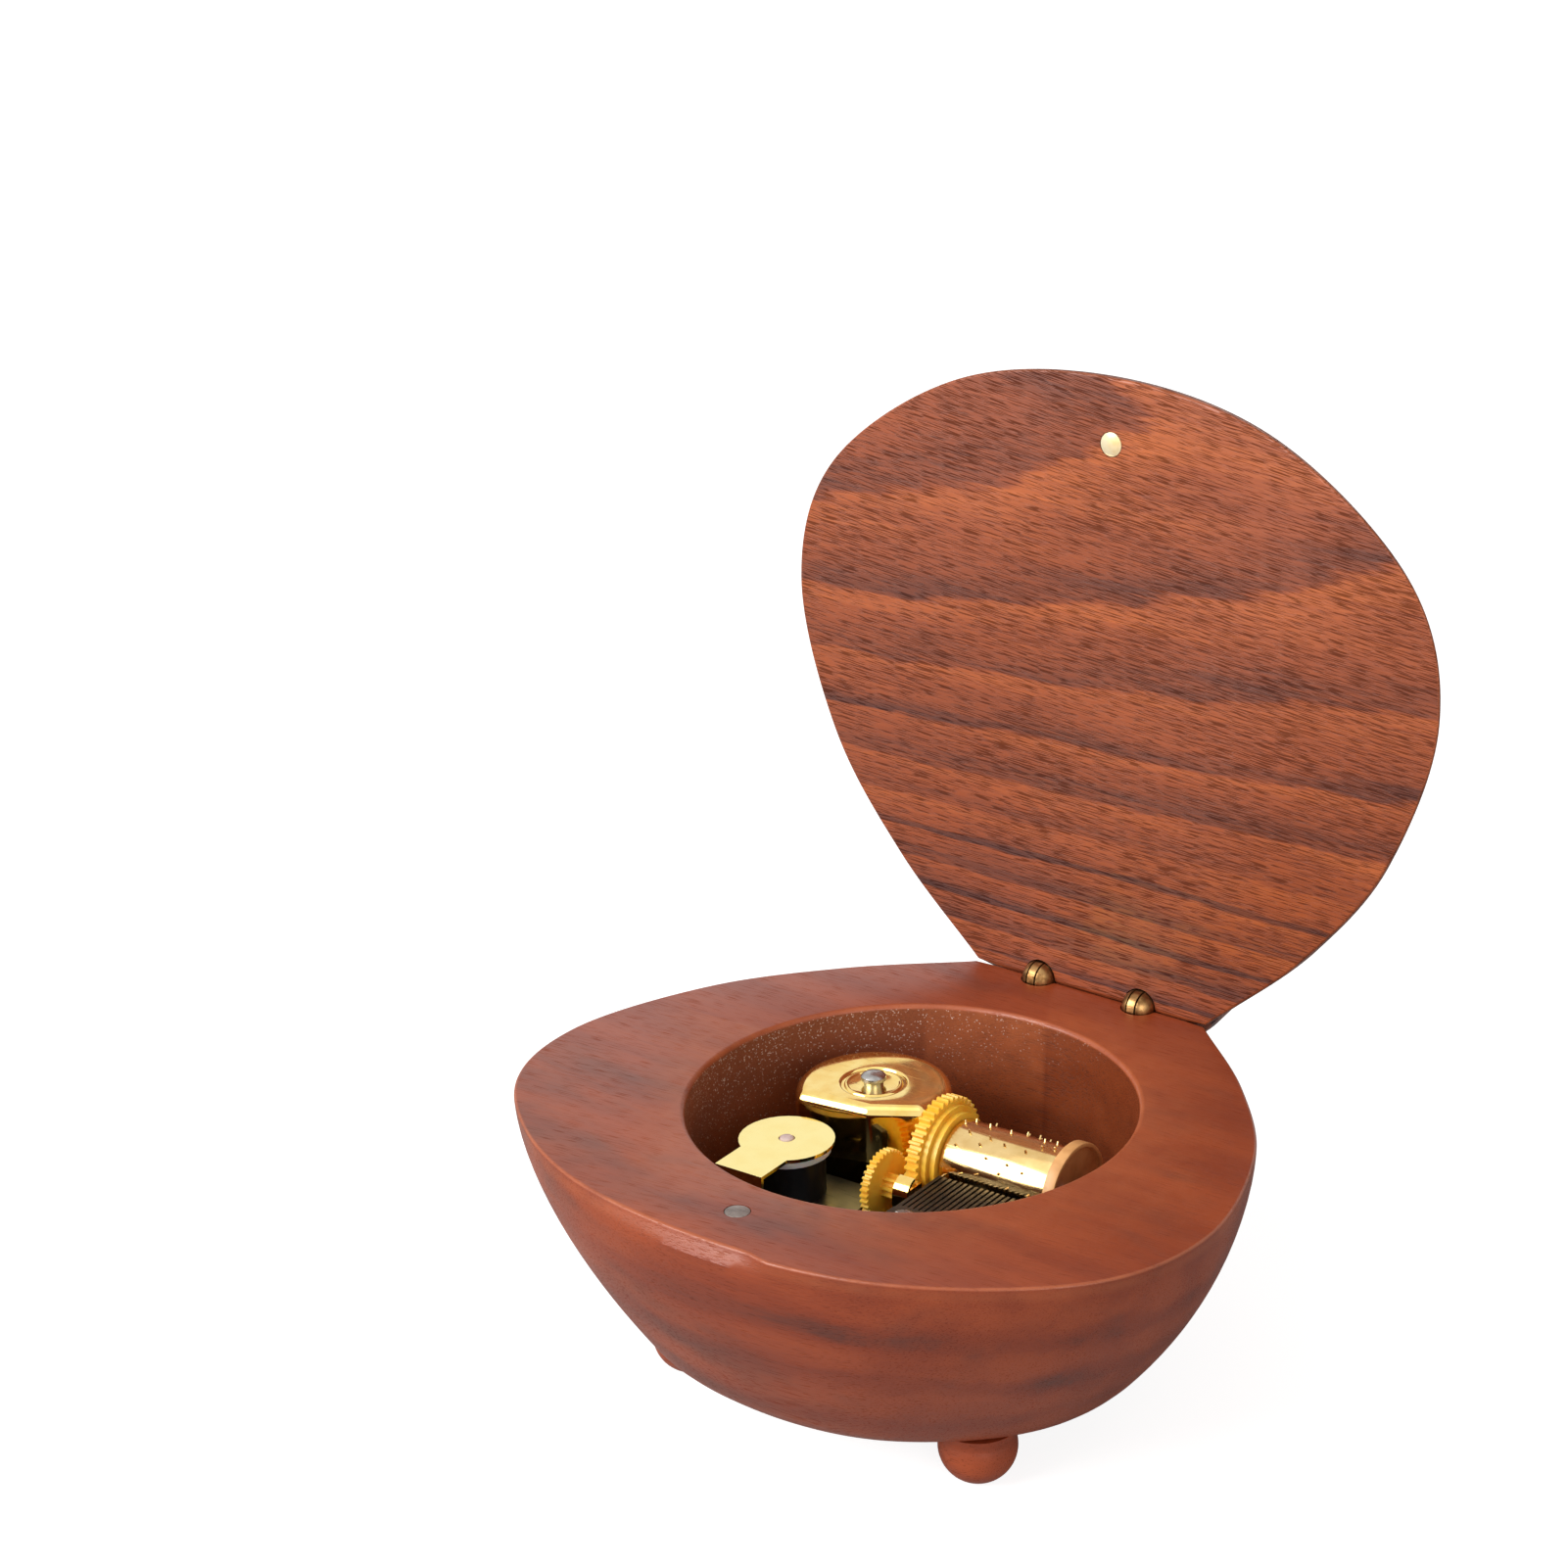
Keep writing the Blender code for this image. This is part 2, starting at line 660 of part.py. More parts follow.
def make_hinges():
    """Barrel hinges: a slotted ball on the bowl's barrel, a tongue on the lid's, and a pin."""
    slot = TONGUE_THICKNESS / 2 + RUN_GAP
    below = -BARREL_START
    for side, sign in (("left", -1), ("right", 1)):
        place = (sign * HINGE_X, 0, HINGE_Z)
        profile = ball_arc(math.pi / 2, -0.27, 7)
        profile[0] = (0.0, BALL_RADIUS)
        profile += [
            (BARREL_RADIUS, below * 0.6),
            (BARREL_RADIUS, -BARREL_END),
            (0.0, -BARREL_END),
        ]
        fork = turned(f"hinge_barrel_base_{side}", profile, 20, box_frame, BRASS_LOOK, location=place)
        reach = BALL_RADIUS + RUN_GAP
        gap = block(
            f"hinge_slot_cutter_{side}", (-slot, -reach - MM, below), (slot, reach + MM, reach + MM), fork,
        )
        combine(fork, gap)
        bore = rod(f"hinge_bore_cutter_{side}", HINGE_PIN_RADIUS + FIT_GAP, -5 * MM, 5 * MM, 12, fork,
                   rotation=ACROSS)
        combine(fork, bore)

        tongue_radius = BALL_RADIUS - 0.1 * MM
        barrel_profile = (
            (0.0, BARREL_END),
            (BARREL_RADIUS, BARREL_END),
            (BARREL_RADIUS, BARREL_START),
            (0.0, BARREL_START),
        )
        barrel = turned(f"hinge_barrel_lid_{side}", barrel_profile, 20, lid_frame, BRASS_LOOK,
                        location=(sign * HINGE_X, 0, 0))
        steps = 14
        tongue_start = BARREL_START + 0.5 * MM
        outline = [(tongue_start, tongue_radius * 0.8), (tongue_start, -tongue_radius * 0.8)]
        for step in range(steps + 1):
            angle = blend(-0.64, -2 * math.pi + 0.64, step / steps)
            outline.append((tongue_radius * math.cos(angle), tongue_radius * math.sin(angle)))
        half = TONGUE_THICKNESS / 2
        tongue = prism(f"hinge_tongue_{side}_join", outline, -half, half, barrel,
                       rotation=(0, -math.pi / 2, 0))
        combine(barrel, tongue, "UNION")
        eye = rod(f"hinge_eye_cutter_{side}", HINGE_PIN_RADIUS + FIT_GAP, -3 * MM, 3 * MM, 12, barrel,
                  rotation=ACROSS)
        combine(barrel, eye)
        rod(f"hinge_pin_{side}", HINGE_PIN_RADIUS, -HINGE_PIN_HALF, HINGE_PIN_HALF, 12, box_frame,
            STEEL_LOOK, location=place, rotation=ACROSS)


# Gear axes in the movement's own plan and height
GREAT_RADIUS = GREAT_TEETH * GREAT_MODULE / 2
SECOND_PINION_RADIUS = SECOND_PINION_TEETH * GREAT_MODULE / 2
SECOND_WHEEL_RADIUS = SECOND_WHEEL_TEETH * SECOND_MODULE / 2
THIRD_PINION_RADIUS = THIRD_PINION_TEETH * SECOND_MODULE / 2
WORM_WHEEL_RADIUS = WORM_WHEEL_TEETH * WORM_MODULE / 2
WORM_PITCH = math.pi * WORM_MODULE
CROWN_PINION_RADIUS = CROWN_PINION_TEETH * CROWN_MODULE / 2
CROWN_MESH_X = CROWN_TEETH * CROWN_MODULE / 2

second_span = GREAT_RADIUS + SECOND_PINION_RADIUS + MESH_GAP
SECOND_AXIS_Z = CYLINDER_AXIS_Z - SECOND_DROP
SECOND_AXIS_Y = CYLINDER_AXIS_Y - math.sqrt(second_span ** 2 - SECOND_DROP ** 2)
THIRD_AXIS_Y = GOVERNOR_Y + WORM_RADIUS + WORM_WHEEL_RADIUS + MESH_GAP
third_span = SECOND_WHEEL_RADIUS + THIRD_PINION_RADIUS + MESH_GAP
THIRD_AXIS_Z = SECOND_AXIS_Z - math.sqrt(third_span ** 2 - (SECOND_AXIS_Y - THIRD_AXIS_Y) ** 2)


def gear_outline(teeth, module, phase, tip_share=0.15, root_share=0.30):
    """Tapered teeth round a pitch circle, with a tooth centred on the phase angle."""
    radius = teeth * module / 2
    tip = radius + 0.75 * module
    root = radius - 0.95 * module
    pitch = 2 * math.pi / teeth
    outline = []
    for index in range(teeth):
        middle = phase + index * pitch
        for distance, share in ((root, -root_share), (tip, -tip_share), (tip, tip_share), (root, root_share)):
            angle = middle + share * pitch
            outline.append((distance * math.cos(angle), distance * math.sin(angle)))
    return outline


def facing(from_y, from_z, to_y, to_z):
    """Angle, in a piece laid across, of the direction from one axis to another."""
    return math.atan2(to_y - from_y, from_z - to_z)


def bored(obj, name, radius, low, high, steps=12):
    combine(obj, rod(name, radius, low, high, steps, obj))


def make_cylinder():
    """The pinned cylinder with its great wheel, end cap and shaft, which all turn together."""
    place = (0, CYLINDER_AXIS_Y, CYLINDER_AXIS_Z)
    toward_second = facing(CYLINDER_AXIS_Y, CYLINDER_AXIS_Z, SECOND_AXIS_Y, SECOND_AXIS_Z)
    reach = 5 * MM
    wheel = prism("cylinder_gear", gear_outline(GREAT_TEETH, GREAT_MODULE, toward_second),
                  GEAR_START, GEAR_START + GEAR_FACE, movement, YELLOW_LOOK, location=place, rotation=ACROSS)
    hub_end = CYLINDER_START - SEAT_GAP
    step_face = GEAR_START + GEAR_FACE
    hub_profile = (
        (0.0, hub_end),
        (HUB_STEP_RADIUS, hub_end),
        (HUB_STEP_RADIUS, step_face + 1.0 * MM),
        (HUB_RADIUS, step_face + 1.0 * MM),
        (HUB_RADIUS, step_face - 0.5 * MM),
        (0.0, step_face - 0.5 * MM),
    )
    combine(wheel, turned("gear_hub_join", hub_profile, 32, wheel), "UNION")
    bored(wheel, "gear_bore_cutter", SHAFT_RADIUS + FIT_GAP, GEAR_START - reach, hub_end + reach)

    body_profile = (
        (0.0, CYLINDER_END),
        (CYLINDER_RADIUS, CYLINDER_END),
        (CYLINDER_RADIUS, CYLINDER_START),
        (0.0, CYLINDER_START),
    )
    body = turned("pinned_cylinder", body_profile, 36, movement, GOLD_LOOK, location=place, rotation=ACROSS)
    bm = bmesh.new()
    pin_middle = CYLINDER_RADIUS + PIN_HEIGHT / 2 - 0.2 * MM
    for index in range(NOTE_COUNT * PINS_PER_NOTE):
        note, beat = divmod(index, PINS_PER_NOTE)
        uneven = 0.03 * ((note * beat) % 5)
        angle = 2 * math.pi * (0.618 * note + beat / PINS_PER_NOTE + uneven)
        size = (PIN_HEIGHT + 0.4 * MM, PIN_WIDTH, PIN_WIDTH)
        along = FIRST_NOTE_X + note * NOTE_PITCH
        spot = Matrix.Rotation(angle, 4, "Z") @ Matrix.Translation((pin_middle, 0, along))
        bmesh.ops.create_cube(bm, size=1.0, matrix=spot @ Matrix.Diagonal((*size, 1.0)))
    pins = finish_object("cylinder_pins_join", mesh_from(bm, "cylinder_pins"), body)
    combine(body, pins, "UNION")
    bored(body, "cylinder_bore_cutter", SHAFT_RADIUS + FIT_GAP, CYLINDER_START - reach, CYLINDER_END + reach)

    cap_start = CYLINDER_END + SEAT_GAP
    cap_end = cap_start + END_CAP_LENGTH
    cap_profile = (
        (SHAFT_RADIUS + FIT_GAP, cap_end - END_CAP_RECESS),
        (END_CAP_RADIUS - END_CAP_RIM - 0.3 * MM, cap_end - END_CAP_RECESS),
        (END_CAP_RADIUS - END_CAP_RIM, cap_end),
        (END_CAP_RADIUS - 0.3 * MM, cap_end),
        (END_CAP_RADIUS, cap_end - 0.3 * MM),
        (END_CAP_RADIUS, cap_start),
        (SHAFT_RADIUS + FIT_GAP, cap_start),
    )
    turned("cylinder_end_cap", cap_profile, 36, movement, (TAN, 0.45, 0.0), location=place, rotation=ACROSS)

    rod("cylinder_shaft", SHAFT_RADIUS, CROWN_MESH_X - 2.2 * MM, BEARING_X + BEARING_THICKNESS, 16, movement,
        STEEL_LOOK, location=place, rotation=ACROSS)

    outline = gear_outline(CROWN_PINION_TEETH, CROWN_MODULE, math.pi / CROWN_PINION_TEETH)
    pinion = prism("crown_pinion", outline, CROWN_MESH_X - 0.8 * MM, CROWN_MESH_X + 0.6 * MM, movement,
                   BRASS_LOOK, location=place, rotation=ACROSS)
    bored(pinion, "crown_pinion_bore_cutter", SHAFT_RADIUS + FIT_GAP, 0, 2 * CROWN_MESH_X)


BEARING_THICKNESS = 1.3 * MM
BEARING_X = CYLINDER_END + SEAT_GAP + END_CAP_LENGTH + 2 * RUN_GAP


def make_train():
    """The second wheel and pinion, and the third arbor with the wheel that drives the worm."""
    place = (0, SECOND_AXIS_Y, SECOND_AXIS_Z)
    toward_great = facing(SECOND_AXIS_Y, SECOND_AXIS_Z, CYLINDER_AXIS_Y, CYLINDER_AXIS_Z)
    toward_third = facing(SECOND_AXIS_Y, SECOND_AXIS_Z, THIRD_AXIS_Y, THIRD_AXIS_Z)
    wheel_end = SECOND_WHEEL_START + SECOND_WHEEL_FACE
    wheel = prism("second_wheel", gear_outline(SECOND_WHEEL_TEETH, SECOND_MODULE, toward_third),
                  SECOND_WHEEL_START, wheel_end, movement, YELLOW_LOOK, location=place, rotation=ACROSS)
    outline = gear_outline(SECOND_PINION_TEETH, GREAT_MODULE, toward_great + math.pi / SECOND_PINION_TEETH)
    pinion = prism("second_pinion_join", outline, wheel_end - 0.3 * MM, SECOND_PINION_END, wheel)
    combine(wheel, pinion, "UNION")
    bored(wheel, "second_bore_cutter", SECOND_SHAFT_RADIUS + FIT_GAP, 0, 2 * SECOND_PINION_END, 10)
    rod("second_shaft", SECOND_SHAFT_RADIUS, BLOCK_RIGHT - BLOCK_WALL, SECOND_SHAFT_END, 12, movement,
        STEEL_LOOK, location=place, rotation=ACROSS)

    place = (0, THIRD_AXIS_Y, THIRD_AXIS_Z)
    toward_second = facing(THIRD_AXIS_Y, THIRD_AXIS_Z, SECOND_AXIS_Y, SECOND_AXIS_Z)
    pinion_start = BLOCK_RIGHT + 2 * RUN_GAP
    outline = gear_outline(THIRD_PINION_TEETH, SECOND_MODULE, toward_second + math.pi / THIRD_PINION_TEETH)
    third = prism("third_pinion", outline, pinion_start, pinion_start + THIRD_PINION_FACE, movement,
                  STEEL_LOOK, location=place, rotation=ACROSS)
    bored(third, "third_bore_cutter", SECOND_SHAFT_RADIUS + FIT_GAP, 0, 4 * pinion_start, 10)
    wheel = prism("worm_wheel", gear_outline(WORM_WHEEL_TEETH, WORM_MODULE, -math.pi / 2, 0.13, 0.27),
                  GOVERNOR_X - WORM_WHEEL_FACE / 2, GOVERNOR_X + WORM_WHEEL_FACE / 2, movement, YELLOW_LOOK,
                  location=place, rotation=ACROSS)
    bored(wheel, "worm_wheel_bore_cutter", SECOND_SHAFT_RADIUS + FIT_GAP, 2 * GOVERNOR_X, -GOVERNOR_X, 10)
    rod("third_shaft", SECOND_SHAFT_RADIUS, BLOCK_LEFT + BLOCK_WALL * 0.4, pinion_start + THIRD_PINION_FACE,
        12, movement, STEEL_LOOK, location=place, rotation=ACROSS)


SECOND_PINION_END = GEAR_START + GEAR_FACE + 0.4 * MM
GUARD_PLATE_X = SECOND_PINION_END + RUN_GAP
GUARD_PLATE = 0.5 * MM
SECOND_SHAFT_END = GUARD_PLATE_X + GUARD_PLATE + 0.2 * MM


def make_guard():
    """A bent gilt strip that curls over the second pinion and carries the end of its shaft."""
    inner = SECOND_PINION_RADIUS + GREAT_MODULE + RUN_GAP
    outer = inner + GUARD_PLATE
    foot = BEDPLATE_THICKNESS + SEAT_GAP
    steps = 8
    angles = [blend(math.radians(100), math.radians(180), step / steps) for step in range(steps + 1)]
    arc_outer = [(outer * math.cos(angle), outer * math.sin(angle)) for angle in angles]
    arc_inner = [(inner * math.cos(angle), inner * math.sin(angle)) for angle in reversed(angles)]
    low = foot - SECOND_AXIS_Z
    section = arc_outer + [(-outer, low), (-inner, low)] + arc_inner
    # The piece is laid across, so a section point (y, z) becomes local (-z, y)
    outline = [(-z, y) for y, z in section]
    guard = prism("pinion_guard", outline, SECOND_PINION_END - 2.0 * MM, GUARD_PLATE_X + GUARD_PLATE,
                  movement, GOLD_LOOK, location=(0, SECOND_AXIS_Y, SECOND_AXIS_Z), rotation=ACROSS)
    ear = 1.4 * MM
    lap = -inner - 0.2 * MM
    plate = [(-z, y) for y, z in ((lap, -ear), (lap, ear), (ear, ear), (ear, -ear))]
    plate_end = GUARD_PLATE_X + GUARD_PLATE
    combine(guard, prism("guard_plate_join", plate, GUARD_PLATE_X, plate_end, guard), "UNION")
    bored(guard, "guard_bore_cutter", SECOND_SHAFT_RADIUS + FIT_GAP, 0, 2 * SECOND_SHAFT_END, 10)


def make_bedplate():
    """The cast bedplate: a trimmed plate with the comb's rest and the cylinder's end bearing."""
    left = -HOUSING_RADIUS - BEDPLATE_BORDER
    back = HOUSING_RADIUS + BEDPLATE_BORDER
    right = BEARING_X + BEARING_THICKNESS + BEDPLATE_BORDER / 2
    outline = (
        (left, BEDPLATE_FRONT + BEDPLATE_CORNER), (left + BEDPLATE_CORNER, BEDPLATE_FRONT),
        (right - BEDPLATE_CORNER, BEDPLATE_FRONT), (right, BEDPLATE_FRONT + BEDPLATE_CORNER),
        (right, BEDPLATE_SIDE_BACK), (GEAR_START, BEDPLATE_SIDE_BACK), (GEAR_START - BEDPLATE_CORNER, back),
        (left + BEDPLATE_CORNER, back), (left, back - BEDPLATE_CORNER),
    )
    plate = prism("bedplate", outline, 0.0, BEDPLATE_THICKNESS, movement, (BLACK, 0.4, 0.0))
    lap = 0.5 * MM
    left = FIRST_NOTE_X - NOTE_PITCH
    right = FIRST_NOTE_X + NOTE_COUNT * NOTE_PITCH
    rest = block("comb_rest_join", (left, COMB_FRONT_Y, BEDPLATE_THICKNESS - lap),
                 (right, COMB_ROOT_Y - 0.5 * MM, COMB_BOTTOM - SEAT_GAP), plate)
    combine(plate, rest, "UNION")
    half = 2.2 * MM
    bearing_top = CYLINDER_AXIS_Z + half
    bearing = block("bearing_join", (BEARING_X, CYLINDER_AXIS_Y - half, BEDPLATE_THICKNESS - lap),
                    (BEARING_X + BEARING_THICKNESS, CYLINDER_AXIS_Y + half, bearing_top), plate)
    combine(plate, bearing, "UNION")
    shaft_hole = rod("bearing_bore_cutter", SHAFT_RADIUS + FIT_GAP, BEARING_X - MM, BEARING_X + 3 * MM, 16,
                     plate, location=(0, CYLINDER_AXIS_Y, CYLINDER_AXIS_Z), rotation=ACROSS)
    combine(plate, shaft_hole)
    bored(plate, "arbor_bore_cutter", ARBOR_RADIUS + RUN_GAP, -MM, 5 * MM, 18)
    pivot = rod("worm_pivot_cutter", 0.5 * MM + FIT_GAP, 0.8 * MM, 5 * MM, 10, plate,
                location=(GOVERNOR_X, GOVERNOR_Y, 0))
    combine(plate, pivot)
    for index, (x, y) in enumerate(MOUNT_SCREWS):
        hole = rod(f"plate_hole_cutter_{index}", SCREW_SHANK + FIT_GAP, -MM, MOUNT_SCREW_TOP + SEAT_GAP, 12,
                   plate, location=(x, y, 0))
        combine(plate, hole)
    for index, x in enumerate(COMB_SCREW_X):
        hole = rod(f"rest_hole_cutter_{index}", COMB_SCREW_RADIUS + FIT_GAP, COMB_BOTTOM - COMB_SCREW_DEPTH,
                   COMB_BOTTOM + MM, 12, plate, location=(x, COMB_SCREW_Y, 0))
        combine(plate, hole)


COMB_BOTTOM = CYLINDER_AXIS_Z - COMB_THICKNESS / 2 - (COMB_BASE_THICKNESS - COMB_THICKNESS)
COMB_TOP = COMB_BOTTOM + COMB_BASE_THICKNESS
COMB_SCREW_RADIUS = 1.1 * MM
COMB_SCREW_DEPTH = 6.0 * MM
MOUNT_SCREW_TOP = BEDPLATE_THICKNESS - 0.5 * MM


def make_comb():
    """The steel comb: eighteen tuned teeth cut from one plate, on a thick screwed root."""
    tip = CYLINDER_AXIS_Y - CYLINDER_RADIUS - PIN_HEIGHT - RUN_GAP / 2
    left = FIRST_NOTE_X - NOTE_PITCH * 0.9
    right = FIRST_NOTE_X + (NOTE_COUNT - 0.1) * NOTE_PITCH
    half = COMB_TOOTH_WIDTH / 2
    outline = [(left, COMB_FRONT_Y), (right, COMB_FRONT_Y)]
    for note in reversed(range(NOTE_COUNT)):
        middle = FIRST_NOTE_X + note * NOTE_PITCH
        outline += [(middle + half, COMB_ROOT_Y), (middle + half * 0.8, tip)]
        outline += [(middle - half * 0.8, tip), (middle - half, COMB_ROOT_Y)]
    comb = prism("comb", outline, COMB_TOP - COMB_THICKNESS, COMB_TOP, movement, STEEL_LOOK)
    root = block("comb_root_join", (left, COMB_FRONT_Y, COMB_BOTTOM),
                 (right, COMB_ROOT_Y - 0.5 * MM, COMB_TOP - COMB_THICKNESS / 2), comb)
    combine(comb, root, "UNION")
    for index, x in enumerate(COMB_SCREW_X):
        hole = rod(f"comb_hole_cutter_{index}", COMB_SCREW_RADIUS + FIT_GAP, 0, 2 * COMB_TOP, 12, comb,
                   location=(x, COMB_SCREW_Y, 0))
        combine(comb, hole)
        screw(f"comb_screw_{index + 1}", COMB_SCREW_RADIUS, 2.2 * MM, 1.3 * MM,
              COMB_TOP + SEAT_GAP, COMB_BOTTOM - COMB_SCREW_DEPTH + SEAT_GAP, (x, COMB_SCREW_Y, 0))


def screw(name, shank, head, head_height, seat, end, location, rotation=(0, 0, 0), parent=None,
          look=STEEL_LOOK):
    """A cheese-head screw with its head above the seat and a slot across it."""
    profile = (
        (0.0, seat + head_height),
        (head * 0.8, seat + head_height),
        (head, seat + head_height * 0.7),
        (head, seat),
        (shank, seat),
        (shank, end + shank * 0.5),
        (shank * 0.5, end),
        (0.0, end),
    )
    obj = turned(name, profile, 14, parent or movement, look, location=location, rotation=rotation)
    slot = 0.25 * head
    cut = block(f"{name}_slot_cutter", (-2 * head, -slot / 2, seat + head_height * 0.55),
                (2 * head, slot / 2, seat + head_height + MM), obj)
    combine(obj, cut)
    return obj


def housing_ring(radius, height, inset=None, count=32):
    """A round section. Where an inset is given, it has the drawn housing's two flats, moved in by it."""
    flats = ()
    if inset is not None:
        flats = (
            (HOUSING_FLAT - inset, HOUSING_FLAT_ANGLE), (HOUSING_SIDE_FLAT - inset, HOUSING_SIDE_FLAT_ANGLE),
        )
    ring = []
    for x, y in circle(radius, count, start=HOUSING_FLAT_ANGLE):
        for flat, angle in flats:
            over = max(x * math.cos(angle) + y * math.sin(angle) - flat, 0.0)
            x -= math.cos(angle) * over
            y -= math.sin(angle) * over
        ring.append((x, y, height))
    return ring


def make_spring_housing():
    """The gilt drawn cap over the mainspring, with its flat side, rolled edge and stepped boss."""
    foot = BEDPLATE_THICKNESS + SEAT_GAP
    edge_steps = 4
    rings = [housing_ring(HOUSING_RADIUS, foot, 0.0)]
    for step in range(edge_steps + 1):
        angle = step / edge_steps * math.pi / 2
        inset = HOUSING_EDGE * (1 - math.cos(angle))
        height = HOUSING_TOP - HOUSING_EDGE * (1 - math.sin(angle))
        rings.append(housing_ring(HOUSING_RADIUS - inset, height, inset))
    low = HOUSING_TOP - HOUSING_STEP
    lip = HOUSING_TOP - 0.1 * MM
    hole = ARBOR_RADIUS + RUN_GAP
    for drawn_in, height in ((0.0, HOUSING_TOP), (0.4, low), (0.8, low), (1.1, lip), (1.4, lip), (1.7, low)):
        rings.append(housing_ring(BOSS_RADIUS - drawn_in * MM, height))
    rings.append(housing_ring(hole, low))
    inside_top = low - HOUSING_WALL
    rings.append(housing_ring(hole, inside_top))
    inner = HOUSING_RADIUS - HOUSING_WALL
    roof = HOUSING_WALL + HOUSING_EDGE / 2
    rings.append(housing_ring(HOUSING_RADIUS - roof, inside_top, roof))
    rings.append(housing_ring(inner, inside_top - HOUSING_EDGE / 2, HOUSING_WALL))
    rings.append(housing_ring(inner, foot, HOUSING_WALL))
    housing = loft("spring_housing", rings, movement, GOLD_LOOK, closed=True)
    shaft_hole = rod("housing_shaft_cutter", SHAFT_RADIUS + FIT_GAP, CROWN_MESH_X + MM, HOUSING_RADIUS + MM,
                     14, housing, location=(0, CYLINDER_AXIS_Y, CYLINDER_AXIS_Z), rotation=ACROSS)
    combine(housing, shaft_hole)


def make_mainspring():
    """The mainspring, a steel ribbon wound round the arbor in the lower half of the housing."""
    turns = 5
    steps = 15
    inner = ARBOR_RADIUS + RUN_GAP + 0.3 * MM
    outer = HOUSING_FLAT - HOUSING_WALL - 2 * RUN_GAP
    thickness = 0.35 * MM
    bottom = BEDPLATE_THICKNESS + 1.0 * MM
    top = CROWN_BOTTOM - 3 * RUN_GAP
    rings = []
    for step in range(turns * steps + 1):
        angle = 2 * math.pi * step / steps
        radius = blend(inner, outer, step / (turns * steps))
        direction = Vector((math.cos(angle), math.sin(angle), 0))
        rings.append([
            direction * radius + Vector((0, 0, bottom)),
            direction * (radius - thickness) + Vector((0, 0, bottom)),
            direction * (radius - thickness) + Vector((0, 0, top)),
            direction * radius + Vector((0, 0, top)),
        ])
    loft("mainspring", rings, movement, STEEL_LOOK)
    pitch = (outer - inner) / turns
    print(f"mainspring: least gap between turns {(pitch - thickness) / MM:.2f} mm")


CROWN_PITCH_Z = CYLINDER_AXIS_Z - CROWN_PINION_RADIUS - MESH_GAP
CROWN_TOP = CROWN_PITCH_Z - 0.8 * CROWN_MODULE
CROWN_BOTTOM = CROWN_TOP - 1.6 * MM


def make_spring_gear():
    """The crown wheel that the mainspring turns, with upright teeth under the shaft's pinion."""
    disc = turned("spring_gear", (
        (ARBOR_RADIUS + RUN_GAP, CROWN_TOP),
        (CROWN_RADIUS, CROWN_TOP),
        (CROWN_RADIUS, CROWN_BOTTOM),
        (ARBOR_RADIUS + RUN_GAP, CROWN_BOTTOM),
    ), 28, movement, YELLOW_LOOK)
    mesh_angle = math.atan2(CYLINDER_AXIS_Y, CROWN_MESH_X)
    mesh_radius = math.hypot(CYLINDER_AXIS_Y, CROWN_MESH_X)
    width = 0.36 * math.pi * CROWN_MODULE
    length = 2 * (CROWN_RADIUS - mesh_radius)
    height = 1.4 * CROWN_MODULE + 0.3 * MM
    bm = bmesh.new()
    for index in range(CROWN_TEETH):
        turn = 2 * math.pi * index / CROWN_TEETH
        middle = CROWN_TOP + height / 2 - 0.3 * MM
        reach = (mesh_radius * math.cos(mesh_angle), mesh_radius * math.sin(mesh_angle), middle)
        spot = Matrix.Rotation(turn, 4, "Z") @ Matrix.Translation(reach)
        bmesh.ops.create_cube(bm, size=1.0, matrix=spot @ Matrix.Diagonal((length, width, height, 1.0)))
    teeth = finish_object("crown_teeth_join", mesh_from(bm, "crown_teeth"), disc)
    combine(disc, teeth, "UNION")


def make_winding():
    """The winding arbor, from its domed head through the bedplate, and the butterfly key below."""
    socket_end = KEY_HUB_TOP - 4.0 * MM - MOVEMENT_Z
    head_base = HOUSING_TOP + RUN_GAP
    profile = (
        (0.0, head_base + 1.5 * MM),
        (1.2 * MM, head_base + 1.35 * MM),
        (ARBOR_HEAD_RADIUS, head_base + 0.8 * MM),
        (ARBOR_HEAD_RADIUS, head_base + 0.3 * MM),
        (ARBOR_RADIUS, head_base),
        (ARBOR_RADIUS, socket_end),
        (0.0, socket_end),
    )
    turned("winding_arbor", profile, 18, movement, STEEL_LOOK)

    key_place = (0, 0, -MOVEMENT_Z)
    hub_bottom = KEY_WING_TOP - 3.0 * MM
    hub = turned("winding_key", (
        (ARBOR_RADIUS + FIT_GAP, KEY_HUB_TOP),
        (KEY_HUB_RADIUS, KEY_HUB_TOP),
        (KEY_HUB_RADIUS, hub_bottom),
        (0.0, hub_bottom),
        (0.0, socket_end + MOVEMENT_Z - SEAT_GAP),
        (ARBOR_RADIUS + FIT_GAP, socket_end + MOVEMENT_Z - SEAT_GAP),
    ), 20, movement, BRASS_LOOK, location=key_place)
    # Wings: one lobe each side, drawn as an outline in the X-Z plane and given thickness
    lobe = KEY_HALF_WIDTH * 0.52
    middle_z = (KEY_WING_TOP + KEY_BOTTOM) / 2
    half_height = (KEY_WING_TOP - KEY_BOTTOM) / 2
    outline = []
    steps = 12
    for sign in (1, -1):
        for step in range(steps + 1):
            angle = blend(-math.radians(100), math.radians(100), step / steps)
            x = sign * (KEY_HALF_WIDTH - lobe + lobe * math.cos(angle))
            z = middle_z + sign * half_height * math.sin(angle)
            outline.append((x, z))
    wings = prism("key_wings_join", outline, -KEY_WING_THICKNESS / 2, KEY_WING_THICKNESS / 2, hub,
                  rotation=(math.pi / 2, 0, 0))
    combine(hub, wings, "UNION")


